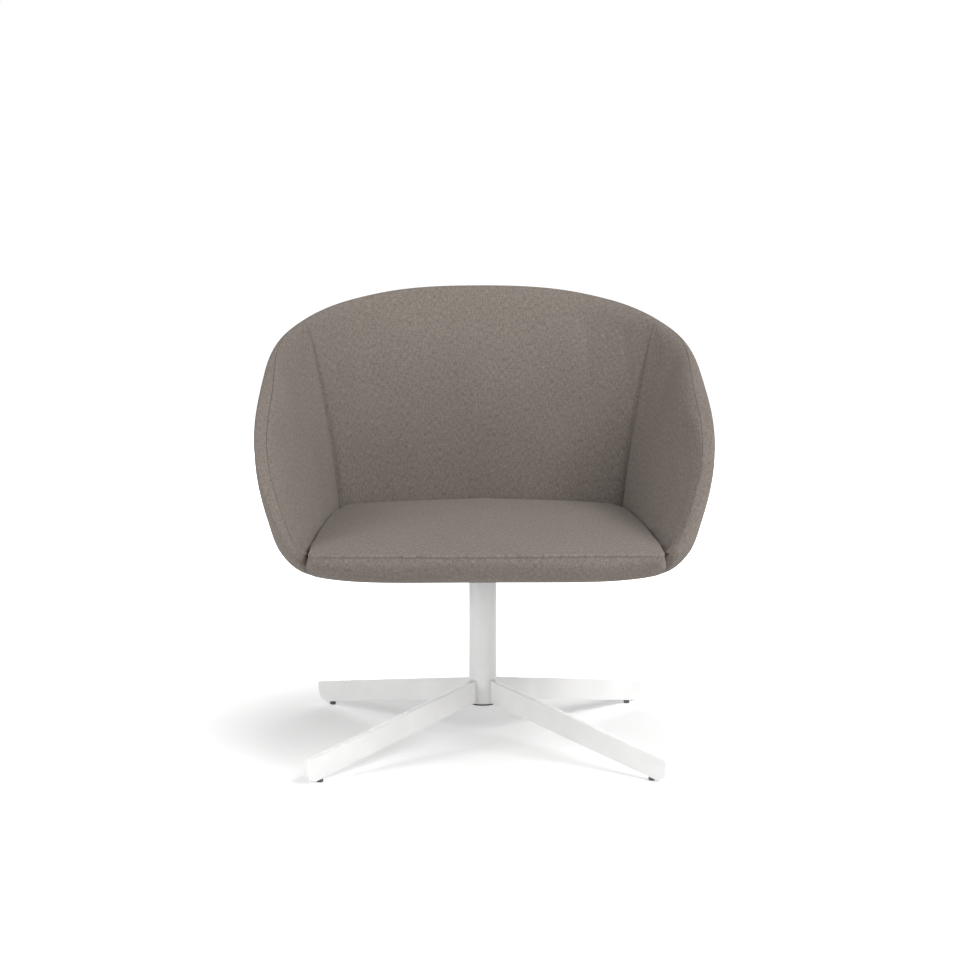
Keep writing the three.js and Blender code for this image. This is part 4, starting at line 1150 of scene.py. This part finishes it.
def build_glide(name, turn):
    """A round pad that tapers to the floor, with its top cut to the leg's slope"""
    count = GLIDE_SIDES
    around = np.linspace(0, 2 * math.pi, count, endpoint=False)
    points = [(GLIDE_REACH, 0, 0)]
    for radius, height in GLIDE_RINGS:
        points += [(GLIDE_REACH + radius * math.cos(a), radius * math.sin(a), height) for a in around]
    for a in around:
        reach = GLIDE_REACH + GLIDE_RADIUS * math.cos(a)
        points.append((reach, GLIDE_RADIUS * math.sin(a), leg_bottom_at(reach) - SEAT_GAP))
    points.append((GLIDE_REACH, 0, leg_bottom_at(GLIDE_REACH) - SEAT_GAP))
    faces = [(0, 1 + (j + 1) % count, 1 + j) for j in range(count)]
    for i in range(len(GLIDE_RINGS)):
        a = 1 + i * count
        b = a + count
        faces += [(a + j, a + (j + 1) % count, b + (j + 1) % count, b + j) for j in range(count)]
    last = len(points) - 1
    top = last - count
    faces += [(last, top + j, top + (j + 1) % count) for j in range(count)]
    points = turned_points(points, turn)
    piece = make_piece(f"glide_foot_{name}", points, faces, glide_plastic, "base")
    piece.data.set_sharp_from_angle(angle=GLIDE_SHARP_ANGLE)
    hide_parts(f"glide_{name}")


# Stage, light and camera
FLOOR_HALF_SIZE = 30
FLOOR_COLOUR = (0.88, 0.88, 0.88, 1)
FLOOR_GLOW = 0.25
FLOOR_GLOW_START = 0.34
FLOOR_GLOW_END = 0.85
WORLD_LIGHT = 0.06
WHITE = (1, 1, 1, 1)
LAMP_TARGET = Vector((0, 0, 0.4))
LAMP_DISTANCE = 3.5
CAMERA_PLACE = (-0.0806, -4.054, 1.0331)
CAMERA_PITCH = 8.42
CAMERA_TURN = 1.0753
CAMERA_LENS = 94.69

# Softboxes: name, azimuth from the front towards the right and elevation in degrees, width, height, power
LAMPS = [
    ("key", 35, 36, 1.5, 1.5, 52),
    ("right_high", 62, 46, 1.5, 1.5, 58),
    ("right_low", 60, 7, 1.5, 1.4, 26),
    ("left_low", -60, 7, 1.5, 1.4, 44),
    ("left_high", -66, 40, 1.5, 1.5, 34),
    ("top", 0, 88, 1.5, 1.5, 22),
    ("rear", 180, 6, 1.8, 1.4, 44),
]


def seen_by_camera(tree):
    """1 for a ray of the picture, seen directly, mirrored or through a piece, and 0 for other rays"""
    path = tree.nodes.new("ShaderNodeLightPath")
    seen = math_node(tree, "MAXIMUM", path.outputs["Is Camera Ray"], path.outputs["Is Glossy Ray"])
    return math_node(tree, "MAXIMUM", seen, path.outputs["Is Transmission Ray"])


def build_floor():
    """A pale floor that fades to white away from the chair, as seen by the camera"""
    s = FLOOR_HALF_SIZE
    mesh = bpy.data.meshes.new("floor")
    mesh.from_pydata([(-s, -s, 0), (s, -s, 0), (s, s, 0), (-s, s, 0)], [], [(0, 1, 2, 3)])
    floor = bpy.data.objects.new("floor", mesh)
    scene.collection.objects.link(floor)
    look, tree, shader = new_material("studio_floor")
    feed_all(tree, shader, Base_Color=FLOOR_COLOUR, Roughness=0.9, Specular_IOR_Level=0.1)
    reach = tree.nodes.new("ShaderNodeVectorMath")
    reach.operation = "LENGTH"
    tree.links.new(tree.nodes.new("ShaderNodeTexCoord").outputs["Object"], reach.inputs[0])
    glowing = ranged(tree, reach.outputs["Value"], (FLOOR_GLOW_START, FLOOR_GLOW_END), (FLOOR_GLOW, 1.0))
    strength = math_node(tree, "MULTIPLY", seen_by_camera(tree), glowing)
    glow = add(tree, "ShaderNodeEmission", Color=WHITE, Strength=strength)
    both = tree.nodes.new("ShaderNodeAddShader")
    tree.links.new(shader.outputs[0], both.inputs[0])
    tree.links.new(glow.outputs[0], both.inputs[1])
    tree.links.new(both.outputs[0], tree.nodes["Material Output"].inputs["Surface"])
    mesh.materials.append(look)


def build_world():
    """A faint plain light all round, which the camera sees as white"""
    world = bpy.data.worlds.new("studio")
    world.use_nodes = True
    scene.world = world
    tree = world.node_tree
    strength = ranged(tree, seen_by_camera(tree), (0, 1), (WORLD_LIGHT, 1.0))
    feed_all(tree, tree.nodes["Background"], Color=WHITE, Strength=strength)


def build_lamp(name, azimuth, elevation, width, height, power):
    """A softbox that faces the chair"""
    data = bpy.data.lights.new(name, "AREA")
    data.shape = "RECTANGLE"
    data.size = width
    data.size_y = height
    data.energy = power
    lamp = bpy.data.objects.new(name, data)
    around, up = math.radians(azimuth), math.radians(elevation)
    away = Vector((math.sin(around) * math.cos(up), -math.cos(around) * math.cos(up), math.sin(up)))
    lamp.location = LAMP_TARGET + away * LAMP_DISTANCE
    lamp.rotation_euler = (-away).to_track_quat("-Z", "Y").to_euler()
    lamp.visible_camera = False
    scene.collection.objects.link(lamp)


def build_camera():
    data = bpy.data.cameras.new("camera")
    data.sensor_fit = "HORIZONTAL"
    data.sensor_width = 36
    data.lens = CAMERA_LENS
    data.clip_end = 100
    camera = bpy.data.objects.new("camera", data)
    camera.location = CAMERA_PLACE
    camera.rotation_euler = (math.radians(90 - CAMERA_PITCH), 0, math.radians(-CAMERA_TURN))
    scene.collection.objects.link(camera)
    scene.camera = camera


scene.view_settings.view_transform = "Standard"
build_camera()
build_world()
build_floor()
for lamp_values in LAMPS:
    build_lamp(*lamp_values)

for corner_name, degrees in LEG_TURNS:
    build_leg(corner_name, math.radians(degrees))
    build_weld(corner_name, math.radians(degrees))
    build_glide(corner_name, math.radians(degrees))
build_column()

for part in frame["record"]["subparts"]:
    if part["material_slot"] in inner_looks:
        node = frame["nodes"][part["node"]]
        node.data.materials.clear()
        node.data.materials.append(inner_looks[part["material_slot"]])

build_cover()
build_pad("back_fabric", "back_pad", CREASE + CREASE_GAP, math.pi - CREASE - CREASE_GAP, 0)
build_pad("arm_fabric_right", "arm_pad_right", ARM_END, CREASE - CREASE_GAP, 12)
build_pad("arm_fabric_left", "arm_pad_left", math.pi - CREASE + CREASE_GAP, math.pi - ARM_END, -12)
build_cushion()
